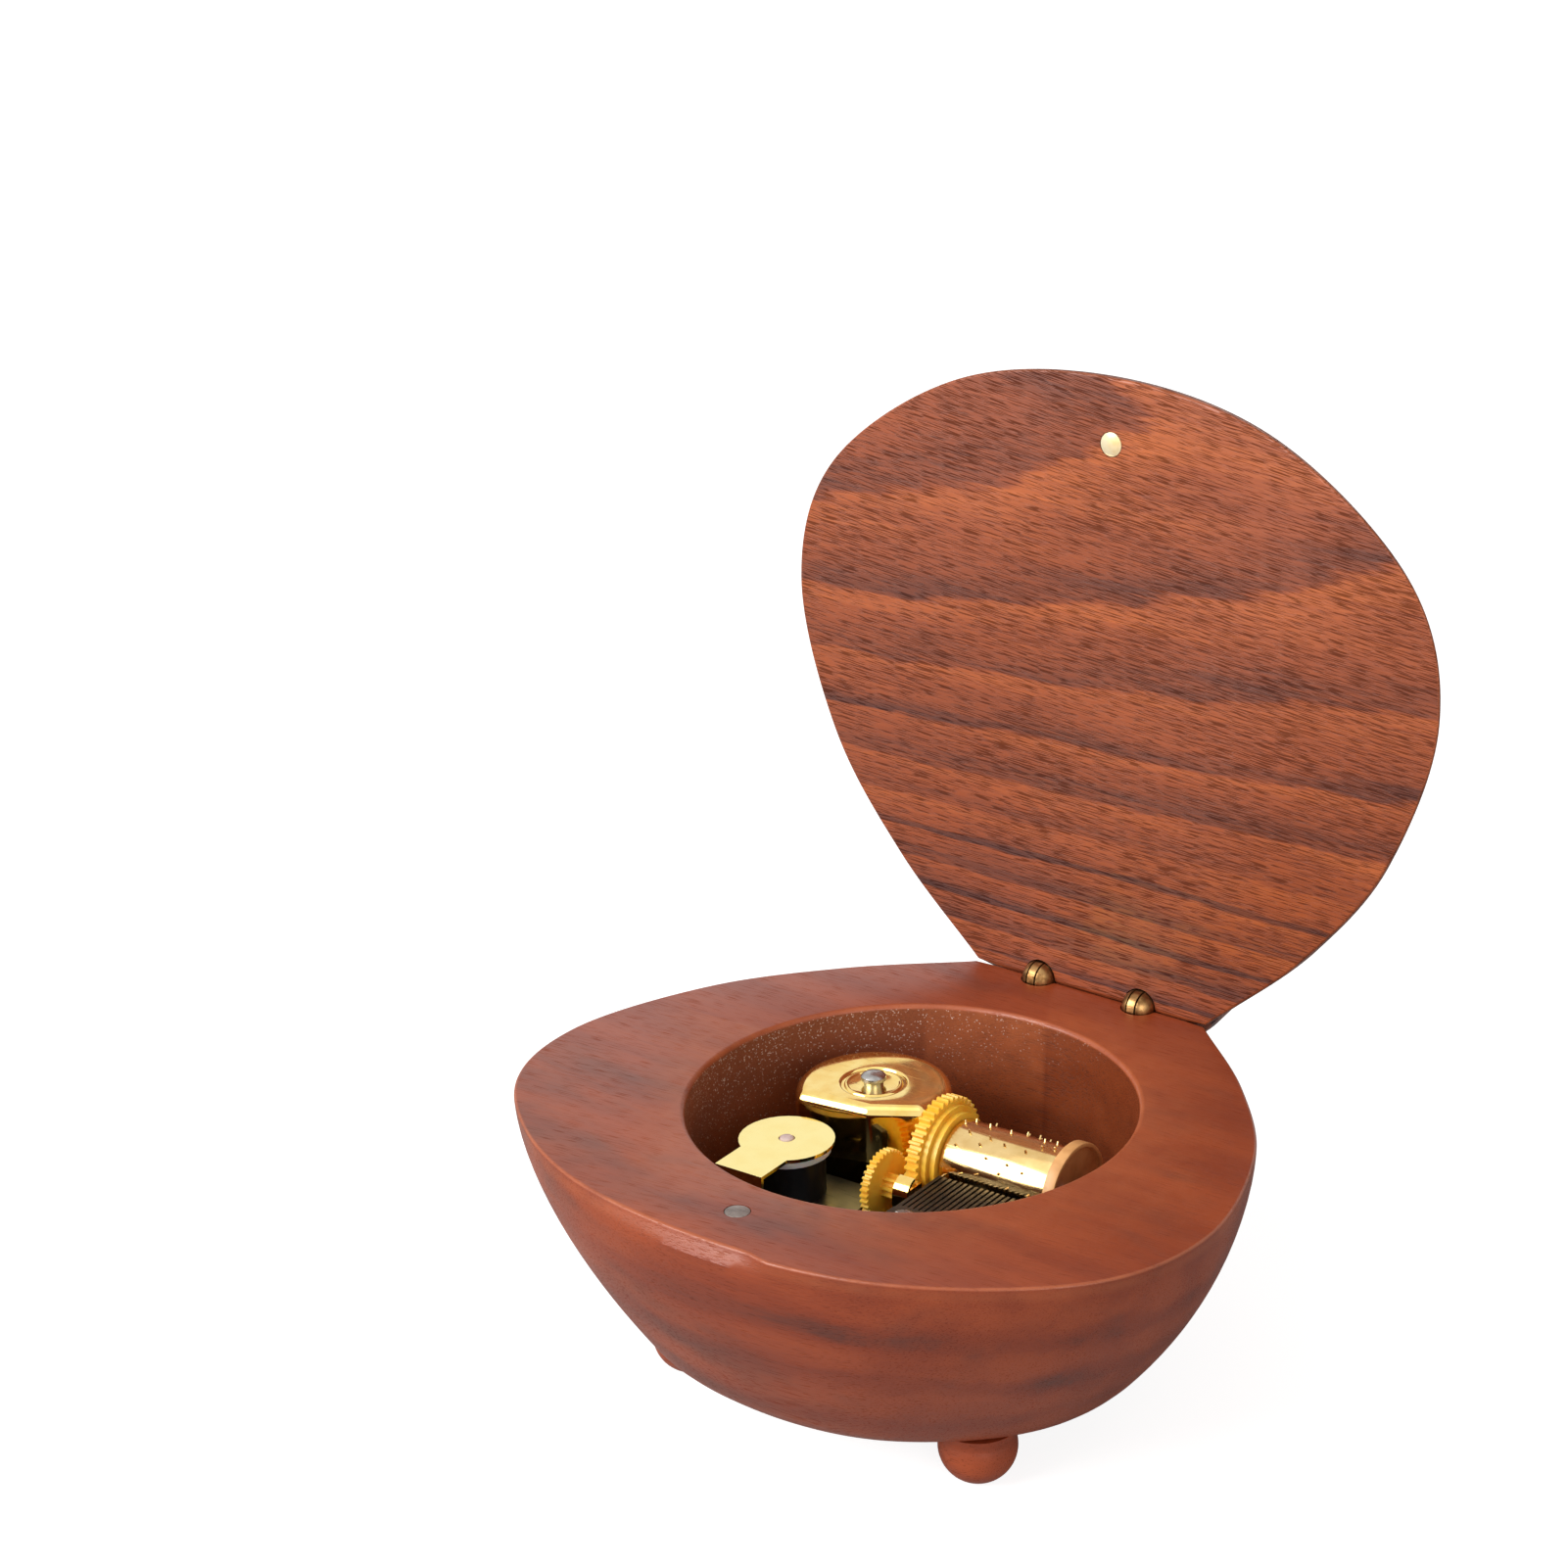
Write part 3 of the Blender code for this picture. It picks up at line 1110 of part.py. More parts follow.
KEY_BOTTOM = KEY_FLOOR_GAP
KEY_WING_TOP = BOWL_BOTTOM + KEY_RECESS_DEPTH - 1.2 * MM
KEY_HUB_TOP = KEY_WING_TOP + 6.0 * MM


def make_governor():
    """The black governor block with its tower, the worm and white rotor, and the gilt bracket."""
    foot = BEDPLATE_THICKNESS + SEAT_GAP
    tower_top = BRACKET_TOP - BRACKET_THICKNESS - ROTOR_THICKNESS - 2.6 * RUN_GAP
    front = BRACKET_FRONT + BRACKET_THICKNESS + SEAT_GAP
    body = block("governor_block", (BLOCK_LEFT, front, foot), (BLOCK_RIGHT, BLOCK_BACK, BLOCK_TOP),
                 movement, BLACK_LOOK)
    spot = (GOVERNOR_X, GOVERNOR_Y, 0)
    tower = rod("tower_join", TOWER_RADIUS, BLOCK_TOP - 0.5 * MM, tower_top, 28, body, location=spot)
    combine(body, tower, "UNION")
    ear_top = SECOND_AXIS_Z + 2.0 * MM
    ear = block("ear_join", (BLOCK_RIGHT - BLOCK_WALL, SECOND_AXIS_Y - 2.0 * MM, BLOCK_TOP - 0.5 * MM),
                (BLOCK_RIGHT, SECOND_AXIS_Y + 1.8 * MM, ear_top), body)
    combine(body, ear, "UNION")
    hollow = block(
        "governor_hollow_cutter",
        (BLOCK_LEFT + BLOCK_WALL, GOVERNOR_Y - 4.0 * MM, foot - MM),
        (BLOCK_RIGHT - BLOCK_WALL, BLOCK_BACK - BLOCK_WALL * 0.5, BLOCK_TOP - BLOCK_WALL), body,
    )
    combine(body, hollow)
    pivot_room = 0.5 * MM + RUN_GAP
    combine(body, rod("tower_bore_cutter", pivot_room, foot, 2 * BRACKET_TOP, 12, body, location=spot))
    for name, y, z in (("second", SECOND_AXIS_Y, SECOND_AXIS_Z), ("third", THIRD_AXIS_Y, THIRD_AXIS_Z)):
        bore = rod(f"{name}_ear_cutter", SECOND_SHAFT_RADIUS + FIT_GAP, BLOCK_LEFT + 0.1 * MM,
                   BLOCK_RIGHT + MM, 10, body, location=(0, y, z), rotation=ACROSS)
        combine(body, bore)

    make_worm()

    thick_bottom = BRACKET_TOP - BRACKET_THICKNESS
    half = BRACKET_NECK / 2
    neck_meets = -math.sqrt(BRACKET_RADIUS ** 2 - half ** 2)
    steps = 26
    start = math.atan2(neck_meets, half)
    end = math.pi - start
    outline = []
    for step in range(steps + 1):
        angle = blend(start, end, step / steps)
        outline.append((BRACKET_RADIUS * math.cos(angle), BRACKET_RADIUS * math.sin(angle)))
    bend = BRACKET_FRONT - GOVERNOR_Y
    outline += [(-half, bend), (half, bend)]
    bracket = prism("governor_bracket", outline, thick_bottom, BRACKET_TOP, movement, GOLD_LOOK,
                    location=spot)
    leg = block("bracket_leg_join", (-half, bend, foot),
                (half, bend + BRACKET_THICKNESS, BRACKET_TOP - 0.1 * MM), bracket)
    combine(bracket, leg, "UNION")
    combine(bracket, rod("bracket_pivot_cutter", PIVOT_CAP_RADIUS + FIT_GAP, thick_bottom - MM,
                         BRACKET_TOP + MM, 16, bracket))
    screw_z = foot + 3.4 * MM
    shank = 0.9 * MM
    leg_hole = rod("bracket_screw_cutter", shank + FIT_GAP, -3 * MM, 6 * MM, 12, bracket,
                   location=(0, bend, screw_z), rotation=(math.pi / 2, 0, 0))
    combine(bracket, leg_hole)
    block_hole = rod("block_screw_cutter", shank + FIT_GAP, -5 * MM, MM, 12, body,
                     location=(GOVERNOR_X, front, screw_z), rotation=(math.pi / 2, 0, 0))
    combine(body, block_hole)
    screw("bracket_screw", shank, 1.8 * MM, 1.0 * MM, SEAT_GAP, -4.6 * MM,
          (GOVERNOR_X, BRACKET_FRONT, screw_z), rotation=(math.pi / 2, 0, 0))
    rod("pivot_cap", PIVOT_CAP_RADIUS, thick_bottom, BRACKET_TOP + 0.3 * MM, 16, movement, (WHITE, 0.4, 0.0),
        location=spot)


PIVOT_CAP_RADIUS = 1.2 * MM


def make_worm():
    """The upright worm, a helix turned by the worm wheel, and the white rotor that it spins."""
    low = 0.8 * MM + SEAT_GAP
    thread_low = BEDPLATE_THICKNESS + 0.6 * MM
    thread_high = BLOCK_TOP - BLOCK_WALL - RUN_GAP
    root = WORM_RADIUS - 0.95 * WORM_MODULE
    tip = WORM_RADIUS + 0.7 * WORM_MODULE
    turns = (thread_high - thread_low) / WORM_PITCH
    steps = 12
    # A tooth of the worm wheel points at the worm, so a groove lies level with its axis there
    groove = THIRD_AXIS_Z + WORM_PITCH / 2
    offset = groove - WORM_PITCH * 0.25
    first = math.ceil((thread_low - offset) / WORM_PITCH * steps)
    last = first + int((turns - 1.0) * steps)
    rings = []
    for step in range(first, last + 1):
        angle = 2 * math.pi * step / steps
        height = offset + WORM_PITCH * step / steps
        direction = Vector((math.cos(angle), math.sin(angle), 0))
        ring = []
        for radius, lift in ((root - 0.25 * MM, -0.26), (tip, -0.11), (tip, 0.11), (root - 0.25 * MM, 0.26)):
            ring.append(direction * radius + Vector((0, 0, height + lift * WORM_PITCH)))
        rings.append(ring)
    spot = (GOVERNOR_X, GOVERNOR_Y, 0)
    shaft = turned("governor_worm", (
        (0.0, BRACKET_TOP - BRACKET_THICKNESS - RUN_GAP),
        (0.5 * MM, BRACKET_TOP - BRACKET_THICKNESS - RUN_GAP),
        (0.5 * MM, thread_high),
        (root, thread_high),
        (root, thread_low),
        (0.5 * MM, thread_low),
        (0.5 * MM, low),
        (0.0, low),
    ), 12, movement, STEEL_LOOK, location=spot)
    combine(shaft, loft("worm_thread_join", rings, shaft), "UNION")

    rotor_top = BRACKET_TOP - BRACKET_THICKNESS - 1.3 * RUN_GAP
    turned("governor_rotor", (
        (0.5 * MM + FIT_GAP, rotor_top),
        (ROTOR_RADIUS - 0.2 * MM, rotor_top),
        (ROTOR_RADIUS, rotor_top - 0.2 * MM),
        (ROTOR_RADIUS, rotor_top - ROTOR_THICKNESS),
        (0.5 * MM + FIT_GAP, rotor_top - ROTOR_THICKNESS),
    ), 32, movement, (WHITE, 0.5, 0.0), location=spot)


def make_mount_screws():
    """Three screws from the bowl's underside that hold the bedplate down."""
    seat = BOWL_BOTTOM + SCREW_SINK - SEAT_GAP
    for index, (x, y) in enumerate(MOUNT_SCREWS):
        end = seat - MOVEMENT_Z - MOUNT_SCREW_TOP
        screw(f"mount_screw_{index + 1}", SCREW_SHANK, SCREW_HEAD_RADIUS, SCREW_HEAD_HEIGHT,
              0.0, end, (x, y, seat - MOVEMENT_Z), rotation=(math.pi, 0, 0))


make_bowl()
make_feet()
make_lid()
make_magnets()
make_hinges()
make_bedplate()
make_spring_housing()
make_mainspring()
make_spring_gear()
make_winding()
make_cylinder()
make_train()
make_guard()
make_comb()
make_governor()
make_mount_screws()
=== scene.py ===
"""The looks of a carved walnut music box with its lid open and its movement in the well.

The file follows the box as it is put together: the studio it stands in, the carved wood, the hinges
and magnets, and then the movement, from its bedplate to the winding key.
"""

import json
import math

import bmesh
import bpy
from mathutils import Matrix, Vector


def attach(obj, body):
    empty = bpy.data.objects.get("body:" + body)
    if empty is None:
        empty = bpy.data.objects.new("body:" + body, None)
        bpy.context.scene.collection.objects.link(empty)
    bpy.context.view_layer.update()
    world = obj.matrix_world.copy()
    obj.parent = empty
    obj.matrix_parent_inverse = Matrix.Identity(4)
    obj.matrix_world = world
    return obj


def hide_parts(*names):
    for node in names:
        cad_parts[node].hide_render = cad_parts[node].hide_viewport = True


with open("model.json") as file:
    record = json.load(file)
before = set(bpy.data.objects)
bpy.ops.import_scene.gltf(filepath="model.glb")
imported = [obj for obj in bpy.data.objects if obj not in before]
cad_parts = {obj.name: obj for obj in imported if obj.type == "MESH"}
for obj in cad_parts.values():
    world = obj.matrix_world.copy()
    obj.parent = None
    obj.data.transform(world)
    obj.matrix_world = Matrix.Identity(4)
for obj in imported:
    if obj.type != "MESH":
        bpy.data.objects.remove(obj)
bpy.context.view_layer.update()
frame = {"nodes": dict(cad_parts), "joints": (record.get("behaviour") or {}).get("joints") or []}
NODES = frame["nodes"]
MM = 0.001

# Studio
# A white table in a white room, with a large soft lamp at the left in front and weak ones at the right
# and above. The camera has the photograph's angle. All heights are in metres from the table.
LID_JOINT = next(joint for joint in frame["joints"] if joint["name"] == "lid_hinge")
HINGE = Vector(LID_JOINT["pos_m"])
LID_GAP = 0.3 * MM
RIM_Z = HINGE.z - LID_GAP / 2
PHOTO_SIZE = 1601
FOCAL_PIXELS = 4340.0
SENSOR = 36.0
VIEW_AZIMUTH = math.radians(38.515)
VIEW_ELEVATION = math.radians(22.338)
VIEW_ROLL = math.radians(-1.553)
VIEW_DISTANCE = 711.5 * MM
HINGE_ASIDE = 51.0 * MM
HINGE_BELOW = 34.93 * MM
LAMP_TARGET = Vector((0.0, 0.0, 0.05))
ROOM_LIGHT = 0.34
ROOM_WHITE = 1.0
TABLE_RADIUS = 6.0
TABLE_COLOUR = (0.50, 0.49, 0.48, 1.0)
TABLE_GLOW = 0.85

level = math.cos(VIEW_ELEVATION)
toward = Vector((-math.sin(VIEW_AZIMUTH) * level, math.cos(VIEW_AZIMUTH) * level, 0.0))
toward.z = -math.sin(VIEW_ELEVATION)
flat_right = Vector((math.cos(VIEW_AZIMUTH), math.sin(VIEW_AZIMUTH), 0.0))
flat_up = flat_right.cross(toward)
view_right = math.cos(VIEW_ROLL) * flat_right + math.sin(VIEW_ROLL) * flat_up
view_up = math.cos(VIEW_ROLL) * flat_up - math.sin(VIEW_ROLL) * flat_right
hinge_middle = Vector((0.0, HINGE.y, RIM_Z))
eye = hinge_middle - HINGE_ASIDE * view_right + HINGE_BELOW * view_up - VIEW_DISTANCE * toward

camera_data = bpy.data.cameras.new("camera")
camera_data.sensor_width = SENSOR
camera_data.lens = FOCAL_PIXELS / PHOTO_SIZE * SENSOR
camera_data.clip_start = 0.01
camera_data.clip_end = 50.0
camera = bpy.data.objects.new("camera", camera_data)
turn = Matrix((view_right, view_up, -toward)).transposed()
camera.matrix_world = Matrix.Translation(eye) @ turn.to_4x4()
bpy.context.scene.collection.objects.link(camera)
bpy.context.scene.camera = camera
bpy.context.scene.view_settings.view_transform = "Standard"


def lamp(name, spot, size, power):
    """A round soft lamp that faces the box."""
    data = bpy.data.lights.new(name, "AREA")
    data.shape = "DISK"
    data.size = size
    data.energy = power
    obj = bpy.data.objects.new(name, data)
    obj.location = spot
    obj.rotation_euler = (LAMP_TARGET - Vector(spot)).to_track_quat("-Z", "Y").to_euler()
    bpy.context.scene.collection.objects.link(obj)


class Number:
    """A number that a shader works out. Sums with it are written as on paper, and each adds a node."""

    def __init__(self, socket):
        self.socket = socket

    def __add__(self, other):
        return worked("ADD", self, other)

    def __radd__(self, other):
        return worked("ADD", other, self)

    def __sub__(self, other):
        return worked("SUBTRACT", self, other)

    def __rsub__(self, other):
        return worked("SUBTRACT", other, self)

    def __mul__(self, other):
        return worked("MULTIPLY", self, other)

    def clamped(self):
        """The same number, held between 0 and 1."""
        self.socket.node.use_clamp = True
        return self


def plug(value, socket):
    """Sets the socket to a constant, or joins it to the number or socket that feeds it."""
    source = value.socket if isinstance(value, Number) else value
    if isinstance(source, bpy.types.NodeSocket):
        socket.id_data.links.new(source, socket)
    else:
        socket.default_value = source


def worked(operation, first, second=0.0):
    """The number that a maths node makes of two others, of which at least one comes from a shader."""
    given = first if isinstance(first, Number) else second
    node = given.socket.id_data.nodes.new("ShaderNodeMath")
    node.operation = operation
    plug(first, node.inputs[0])
    plug(second, node.inputs[1])
    return Number(node.outputs[0])


def add(tree, kind, **settings):
    """A node with its settings. Names of sockets use underscores for spaces."""
    node = tree.nodes.new(kind)
    for key, value in settings.items():
        if hasattr(node, key):
            setattr(node, key, value)
        else:
            node.inputs[key.replace("_", " ")].default_value = value
    return node


def new_material(name):
    """A material with its node tree and its main shader."""
    material = bpy.data.materials.new(name)
    material.use_nodes = True
    tree = material.node_tree
    return material, tree, tree.nodes["Principled BSDF"]


lamp("key_lamp", (-0.55, -1.05, 0.76), 1.1, 20.5)
lamp("fill_lamp", (1.1, -0.75, 0.45), 0.9, 4.2)
lamp("top_lamp", (-0.10, -0.40, 1.30), 0.9, 1.0)

# The room is white to the camera and in reflections, but its light on the box is weaker
world = bpy.data.worlds.new("room")
bpy.context.scene.world = world
world.use_nodes = True
tree = world.node_tree
background = tree.nodes["Background"]
background.inputs["Color"].default_value = (1.0, 1.0, 1.0, 1.0)
rays = add(tree, "ShaderNodeLightPath")
seen = worked("MAXIMUM", Number(rays.outputs["Is Camera Ray"]), rays.outputs["Is Transmission Ray"])
seen = worked("MAXIMUM", seen, rays.outputs["Is Glossy Ray"])
strength = add(tree, "ShaderNodeMapRange", To_Min=ROOM_LIGHT, To_Max=ROOM_WHITE)
plug(seen, strength.inputs["Value"])
plug(strength.outputs["Result"], background.inputs["Strength"])

bpy.ops.object.select_all(action="DESELECT")
bpy.ops.mesh.primitive_circle_add(vertices=96, radius=TABLE_RADIUS, fill_type="NGON", location=(0, 0, 0))
floor = bpy.context.object
floor.name = "table_top"
paper, tree, shader = new_material("white_table")
tree.nodes.remove(shader)
matt = add(tree, "ShaderNodeBsdfDiffuse", Color=TABLE_COLOUR)
glow = add(tree, "ShaderNodeEmission")
rays = add(tree, "ShaderNodeLightPath")
plug(Number(rays.outputs["Is Camera Ray"]) * TABLE_GLOW, glow.inputs["Strength"])
both = add(tree, "ShaderNodeAddShader")
plug(matt.outputs[0], both.inputs[0])
plug(glow.outputs[0], both.inputs[1])
plug(both.outputs[0], tree.nodes["Material Output"].inputs["Surface"])
floor.data.materials.append(paper)

# Carved base
# The bowl is carved from one block of reddish walnut and oiled. Its plan is a rounded triangle with a
# straight hinge edge, its sides lean in to a flat bottom, and a round well is bored for the movement.
HINGE_EDGE_HALF = 22.9 * MM
RIM_HALF_WIDTH = 62.3 * MM
RIM_LENGTH = 105.5 * MM
RIM_SIDE_POINTS = (
    (40.0 * MM, -15.4 * MM),
    (54.4 * MM, -34.6 * MM),
    (RIM_HALF_WIDTH, -60.5 * MM),
    (55.5 * MM, -82.5 * MM),
    (30.5 * MM, -100.3 * MM),
)
SIDE_STEPS = 16
BACK_EDGE_HALF = 19.0 * MM
BACK_OVERHANG = 4.5 * MM
BOWL_DEPTH = 39.4 * MM
BOWL_BOTTOM = RIM_Z - BOWL_DEPTH
BOWL_LEAN_POWER = 1.7
BOTTOM_WIDTH_RATIO = 0.64
FRONT_LEAN = 15.9 * MM
BACK_LEAN = 6.0 * MM
BOTTOM_FILLET = 5.0 * MM
RIM_ROUND = 0.5 * MM
SCOOP_LEFT = -41.0 * MM
SCOOP_RIGHT = 13.0 * MM
SCOOP_BITE = 1.5 * MM
SCOOP_DEPTH = 2.8 * MM
SCOOP_RISE = 0.8
SCOOP_END = 0.07
LID_OPEN = math.radians(93.5)
CHAMFER_DEPTH = BACK_OVERHANG * math.tan(LID_OPEN / 2)
WELL_RADIUS = 36.1 * MM
WELL_BACK = 50.0 * MM
WELL_FLOOR_Z = RIM_Z - 27.0 * MM
WELL_EDGE = 0.9 * MM
HOUSING_X = -15.5 * MM
HOUSING_BACK = 39.5 * MM
MOVEMENT_TURN = math.radians(2.5)
MOVEMENT_Z = WELL_FLOOR_Z + 0.3 * MM
KEY_RECESS_RADIUS = 16.0 * MM
KEY_RECESS_TOP = BOWL_BOTTOM + 6.0 * MM
KEY_PASSAGE_RADIUS = 4.5 * MM
HINGE_X = 10.05 * MM
HINGE_HOLE_RADIUS = 3.1 * MM
HINGE_HOLE_DEPTH = 10.3 * MM
MAGNET_BACK = 94.5 * MM
MAGNET_RADIUS = 2.0 * MM
MAGNET_LENGTH = 3.0 * MM
MAGNET_POCKET = MAGNET_RADIUS + 0.1 * MM
# Worn polish with a painted edge highlight: the share of the lighter edge colour half way round the rim's
# rounding, at least everywhere on it, and on the band down to the scoop's depth
EDGE_WEAR_AND_HIGHLIGHT = 0.9
LEAST_WEAR_AND_HIGHLIGHT = 0.1
SCOOP_WEAR_AND_HIGHLIGHT = 0.35
ROUND_STEPS = 5
WALL_STEPS = 14
FILLET_STEPS = 8
ABOVE = 1.0 * MM


def blend(low, high, share):
    """The value that lies the given share of the way from low to high."""
    return low + (high - low) * share


def superellipse(share, powers):
    """How wide a dome still is at a share of its height, from 1 at the foot to 0 at the top."""
    return max(1.0 - share ** powers[0], 0.0) ** (1.0 / powers[1])


def smooth_curve(points, steps):
    """Points along a curve through the given ones, as a bent spline would lie."""
    ends = [2 * Vector(points[0]) - Vector(points[1]), 2 * Vector(points[-1]) - Vector(points[-2])]
    padded = [ends[0]] + [Vector(point) for point in points] + [ends[1]]
    curve = []
    for index in range(1, len(padded) - 2):
        before, start, end, after = padded[index - 1:index + 3]
        for step in range(steps):
            share = step / steps
            curve.append(0.5 * (
                2 * start
                + (end - before) * share
                + (2 * before - 5 * start + 4 * end - after) * share ** 2
                + (3 * start - before - 3 * end + after) * share ** 3
            ))
    return curve + [padded[-2]]


def rim_outline():
    """The rim's plan: x, the share of the way from hinge to front, and whether it is the back edge."""
    side = [(HINGE_EDGE_HALF, 0.0)] + list(RIM_SIDE_POINTS)
    mirrored = (-RIM_SIDE_POINTS[-1][0], RIM_SIDE_POINTS[-1][1])
    curve = smooth_curve(side + [(0.0, -RIM_LENGTH), mirrored], SIDE_STEPS)
    right = [(point[0], -point[1] / RIM_LENGTH, False) for point in curve[:len(side) * SIDE_STEPS + 1]]
    left = [(-x, share, edge) for x, share, edge in reversed(right[:-1])]
    return [(BACK_EDGE_HALF, 0.0, True)] + right + left + [(-BACK_EDGE_HALF, 0.0, True)]


OUTLINE = rim_outline()


def chamfer_reach(distance):
    """The wood behind the hinge line is cut to a slope that the open lid rests on."""
    return min(distance / math.tan(LID_OPEN / 2), BACK_OVERHANG)


def scoop_inset(x, depth):
    """The thumb scoop in the front edge: it fades out to the left and ends crisply on the right."""
    share = (x - SCOOP_LEFT) / (SCOOP_RIGHT - SCOOP_LEFT)
    if share <= 0 or share >= 1 or depth >= SCOOP_DEPTH:
        return 0.0
    rise = math.sin(min(share / SCOOP_RISE, 1.0) * math.pi / 2)
    fall = min((1.0 - share) / SCOOP_END, 1.0)
    return SCOOP_BITE * rise * fall * (1.0 - depth / SCOOP_DEPTH)


def drawn_in(ring, inset):
    """The ring moved in square to itself, as a rounded edge is."""
    moved = []
    count = len(ring)
    for index, (x, y) in enumerate(ring):
        before = Vector(ring[index - 1])
        after = Vector(ring[(index + 1) % count])
        along = (after - before).normalized()
        moved.append((x + along.y * inset, y - along.x * inset))
    return moved


def bowl_ring(depth):
    """The bowl's outline at a depth under the rim."""
    lean = (depth / BOWL_DEPTH) ** BOWL_LEAN_POWER
    widths = blend(1.0, BOTTOM_WIDTH_RATIO, lean)
    back = -BACK_LEAN * lean
    front = -RIM_LENGTH + FRONT_LEAN * lean
    into_fillet = max(depth - (BOWL_DEPTH - BOTTOM_FILLET), 0.0)
    inset = BOTTOM_FILLET - math.sqrt(max(BOTTOM_FILLET ** 2 - into_fillet ** 2, 0.0))
    shrink = 1.0 - inset / (RIM_HALF_WIDTH * BOTTOM_WIDTH_RATIO)
    ring = []
    for x, share, edge in OUTLINE:
        y = blend(back, front, share)
        if edge:
            y += chamfer_reach(depth)
        if share > 0.5:
            y += scoop_inset(x, depth)
        ring.append((x * widths * shrink, blend((front + back) / 2, y, shrink)))
    return ring


def carved_shell(name, rings, wear_and_highlight, apex=None):
    """A closed skin over level outlines. An attribute marks where hands have polished the edge, together
    with a painted edge highlight.
    """
    bm = bmesh.new()
    wear_and_highlight_layer = bm.verts.layers.float.new("wear_and_highlight")
    layers = [[bm.verts.new(point) for point in ring] for ring in rings]
    for layer, amount in zip(layers, wear_and_highlight):
        for vert in layer:
            vert[wear_and_highlight_layer] = amount
    for lower, upper in zip(layers, layers[1:]):
        count = len(lower)
        for index in range(count):
            after = (index + 1) % count
            bm.faces.new((lower[index], lower[after], upper[after], upper[index]))
    bm.faces.new(layers[0])
    if apex is None:
        bm.faces.new(layers[-1])
    else:
        tip = bm.verts.new(apex)
        for index in range(len(layers[-1])):
            bm.faces.new((layers[-1][index], layers[-1][(index + 1) % len(layers[-1])], tip))
    bmesh.ops.recalc_face_normals(bm, faces=bm.faces)
    mesh = bpy.data.meshes.new(name)
    bm.to_mesh(mesh)
    bm.free()
    obj = bpy.data.objects.new(name, mesh)
    bpy.context.scene.collection.objects.link(obj)
    return obj


def only(obj):
    """Leaves this one piece selected and active."""
    bpy.ops.object.select_all(action="DESELECT")
    obj.select_set(True)
    bpy.context.view_layer.objects.active = obj
    return obj


def turned(name, profile, segments=64):
    """A turned piece: a disc is drawn out, ring by ring, down its profile of (radius, height)."""
    radius, height = profile[0]
    bpy.ops.object.select_all(action="DESELECT")
    bpy.ops.mesh.primitive_circle_add(
        vertices=segments, radius=radius, fill_type="NGON", location=(0, 0, height),
    )
    obj = bpy.context.object
    obj.name = name
    bpy.ops.object.transform_apply(location=True, rotation=True, scale=True)
    bpy.ops.object.mode_set(mode="EDIT")
    for next_radius, next_height in profile[1:]:
        bpy.ops.mesh.extrude_region_move(TRANSFORM_OT_translate={"value": (0, 0, next_height - height)})
        ratio = next_radius / radius
        bpy.ops.transform.resize(value=(ratio, ratio, 1.0), center_override=(0, 0, next_height))
        radius, height = next_radius, next_height
    bpy.ops.mesh.select_all(action="SELECT")
    bpy.ops.mesh.normals_make_consistent(inside=False)
    bpy.ops.object.mode_set(mode="OBJECT")
    return obj


def set_down(obj, matrix):
    """Moves the piece from the bench to its place and fixes the place in its mesh."""
    obj.data.transform(matrix)
    obj.data.update()
    return obj


def cut(obj, cutter):
    """Takes the cutter's shape out of the piece."""
    only(obj)
    modifier = obj.modifiers.new("cut", "BOOLEAN")
    modifier.operation = "DIFFERENCE"
    modifier.solver = "EXACT"
    modifier.object = cutter
    bpy.ops.object.modifier_apply(modifier="cut")
    bpy.data.objects.remove(cutter, do_unlink=True)


def smoothed(obj, angle=30.0):
    """Shades the piece smooth, apart from edges that turn by more than the angle."""
    only(obj)
    bpy.ops.object.shade_smooth_by_angle(angle=math.radians(angle))
    return obj


def movement_matrix(x=0.0, y=0.0, z=0.0, across=False):
    """Where a piece sits in the movement: its own plan, turned a little in the well."""
    place = Matrix.Translation((HOUSING_X, HINGE.y - HOUSING_BACK, MOVEMENT_Z))
    place = place @ Matrix.Rotation(MOVEMENT_TURN, 4, "Z") @ Matrix.Translation((x, y, z))
    return place @ Matrix.Rotation(math.pi / 2, 4, "Y") if across else place


def box_at(x, back):
    """A place on the box, measured from the middle of the hinge line."""
    return Matrix.Translation((x, HINGE.y - back, 0.0))


bowl_rings = []
bowl_wear_and_highlight = []
for step in range(ROUND_STEPS + 1):
    angle = step / ROUND_STEPS * math.pi / 2
    depth = RIM_ROUND * (1 - math.sin(angle))
    ring = drawn_in(bowl_ring(RIM_ROUND - depth), RIM_ROUND * (1 - math.sin(angle)))
    height = RIM_Z - RIM_ROUND * (1 - math.cos(angle))
    bowl_rings.append([(x, y + HINGE.y, height) for x, y in ring])
    # The rounding gets wear and a painted edge highlight, strongest half way round it
    bowl_wear_and_highlight.append(math.sin(2 * angle) * EDGE_WEAR_AND_HIGHLIGHT + LEAST_WEAR_AND_HIGHLIGHT)
side_depths = [RIM_ROUND + 0.5 * MM, RIM_ROUND + 1.2 * MM, SCOOP_DEPTH, CHAMFER_DEPTH]
wall_bottom = BOWL_DEPTH - BOTTOM_FILLET
side_depths += [blend(CHAMFER_DEPTH, wall_bottom, step / WALL_STEPS) for step in range(1, WALL_STEPS + 1)]
for step in range(1, FILLET_STEPS + 1):
    side_depths.append(wall_bottom + BOTTOM_FILLET * math.sin(step / FILLET_STEPS * math.pi / 2))
for depth in side_depths:
    bowl_rings.append([(x, y + HINGE.y, RIM_Z - depth) for x, y in bowl_ring(depth)])
    # The band down to the scoop's depth gets some wear and painted highlight too
    bowl_wear_and_highlight.append(SCOOP_WEAR_AND_HIGHLIGHT if depth < SCOOP_DEPTH else 0.0)
bowl = carved_shell("carved_base", bowl_rings, bowl_wear_and_highlight)

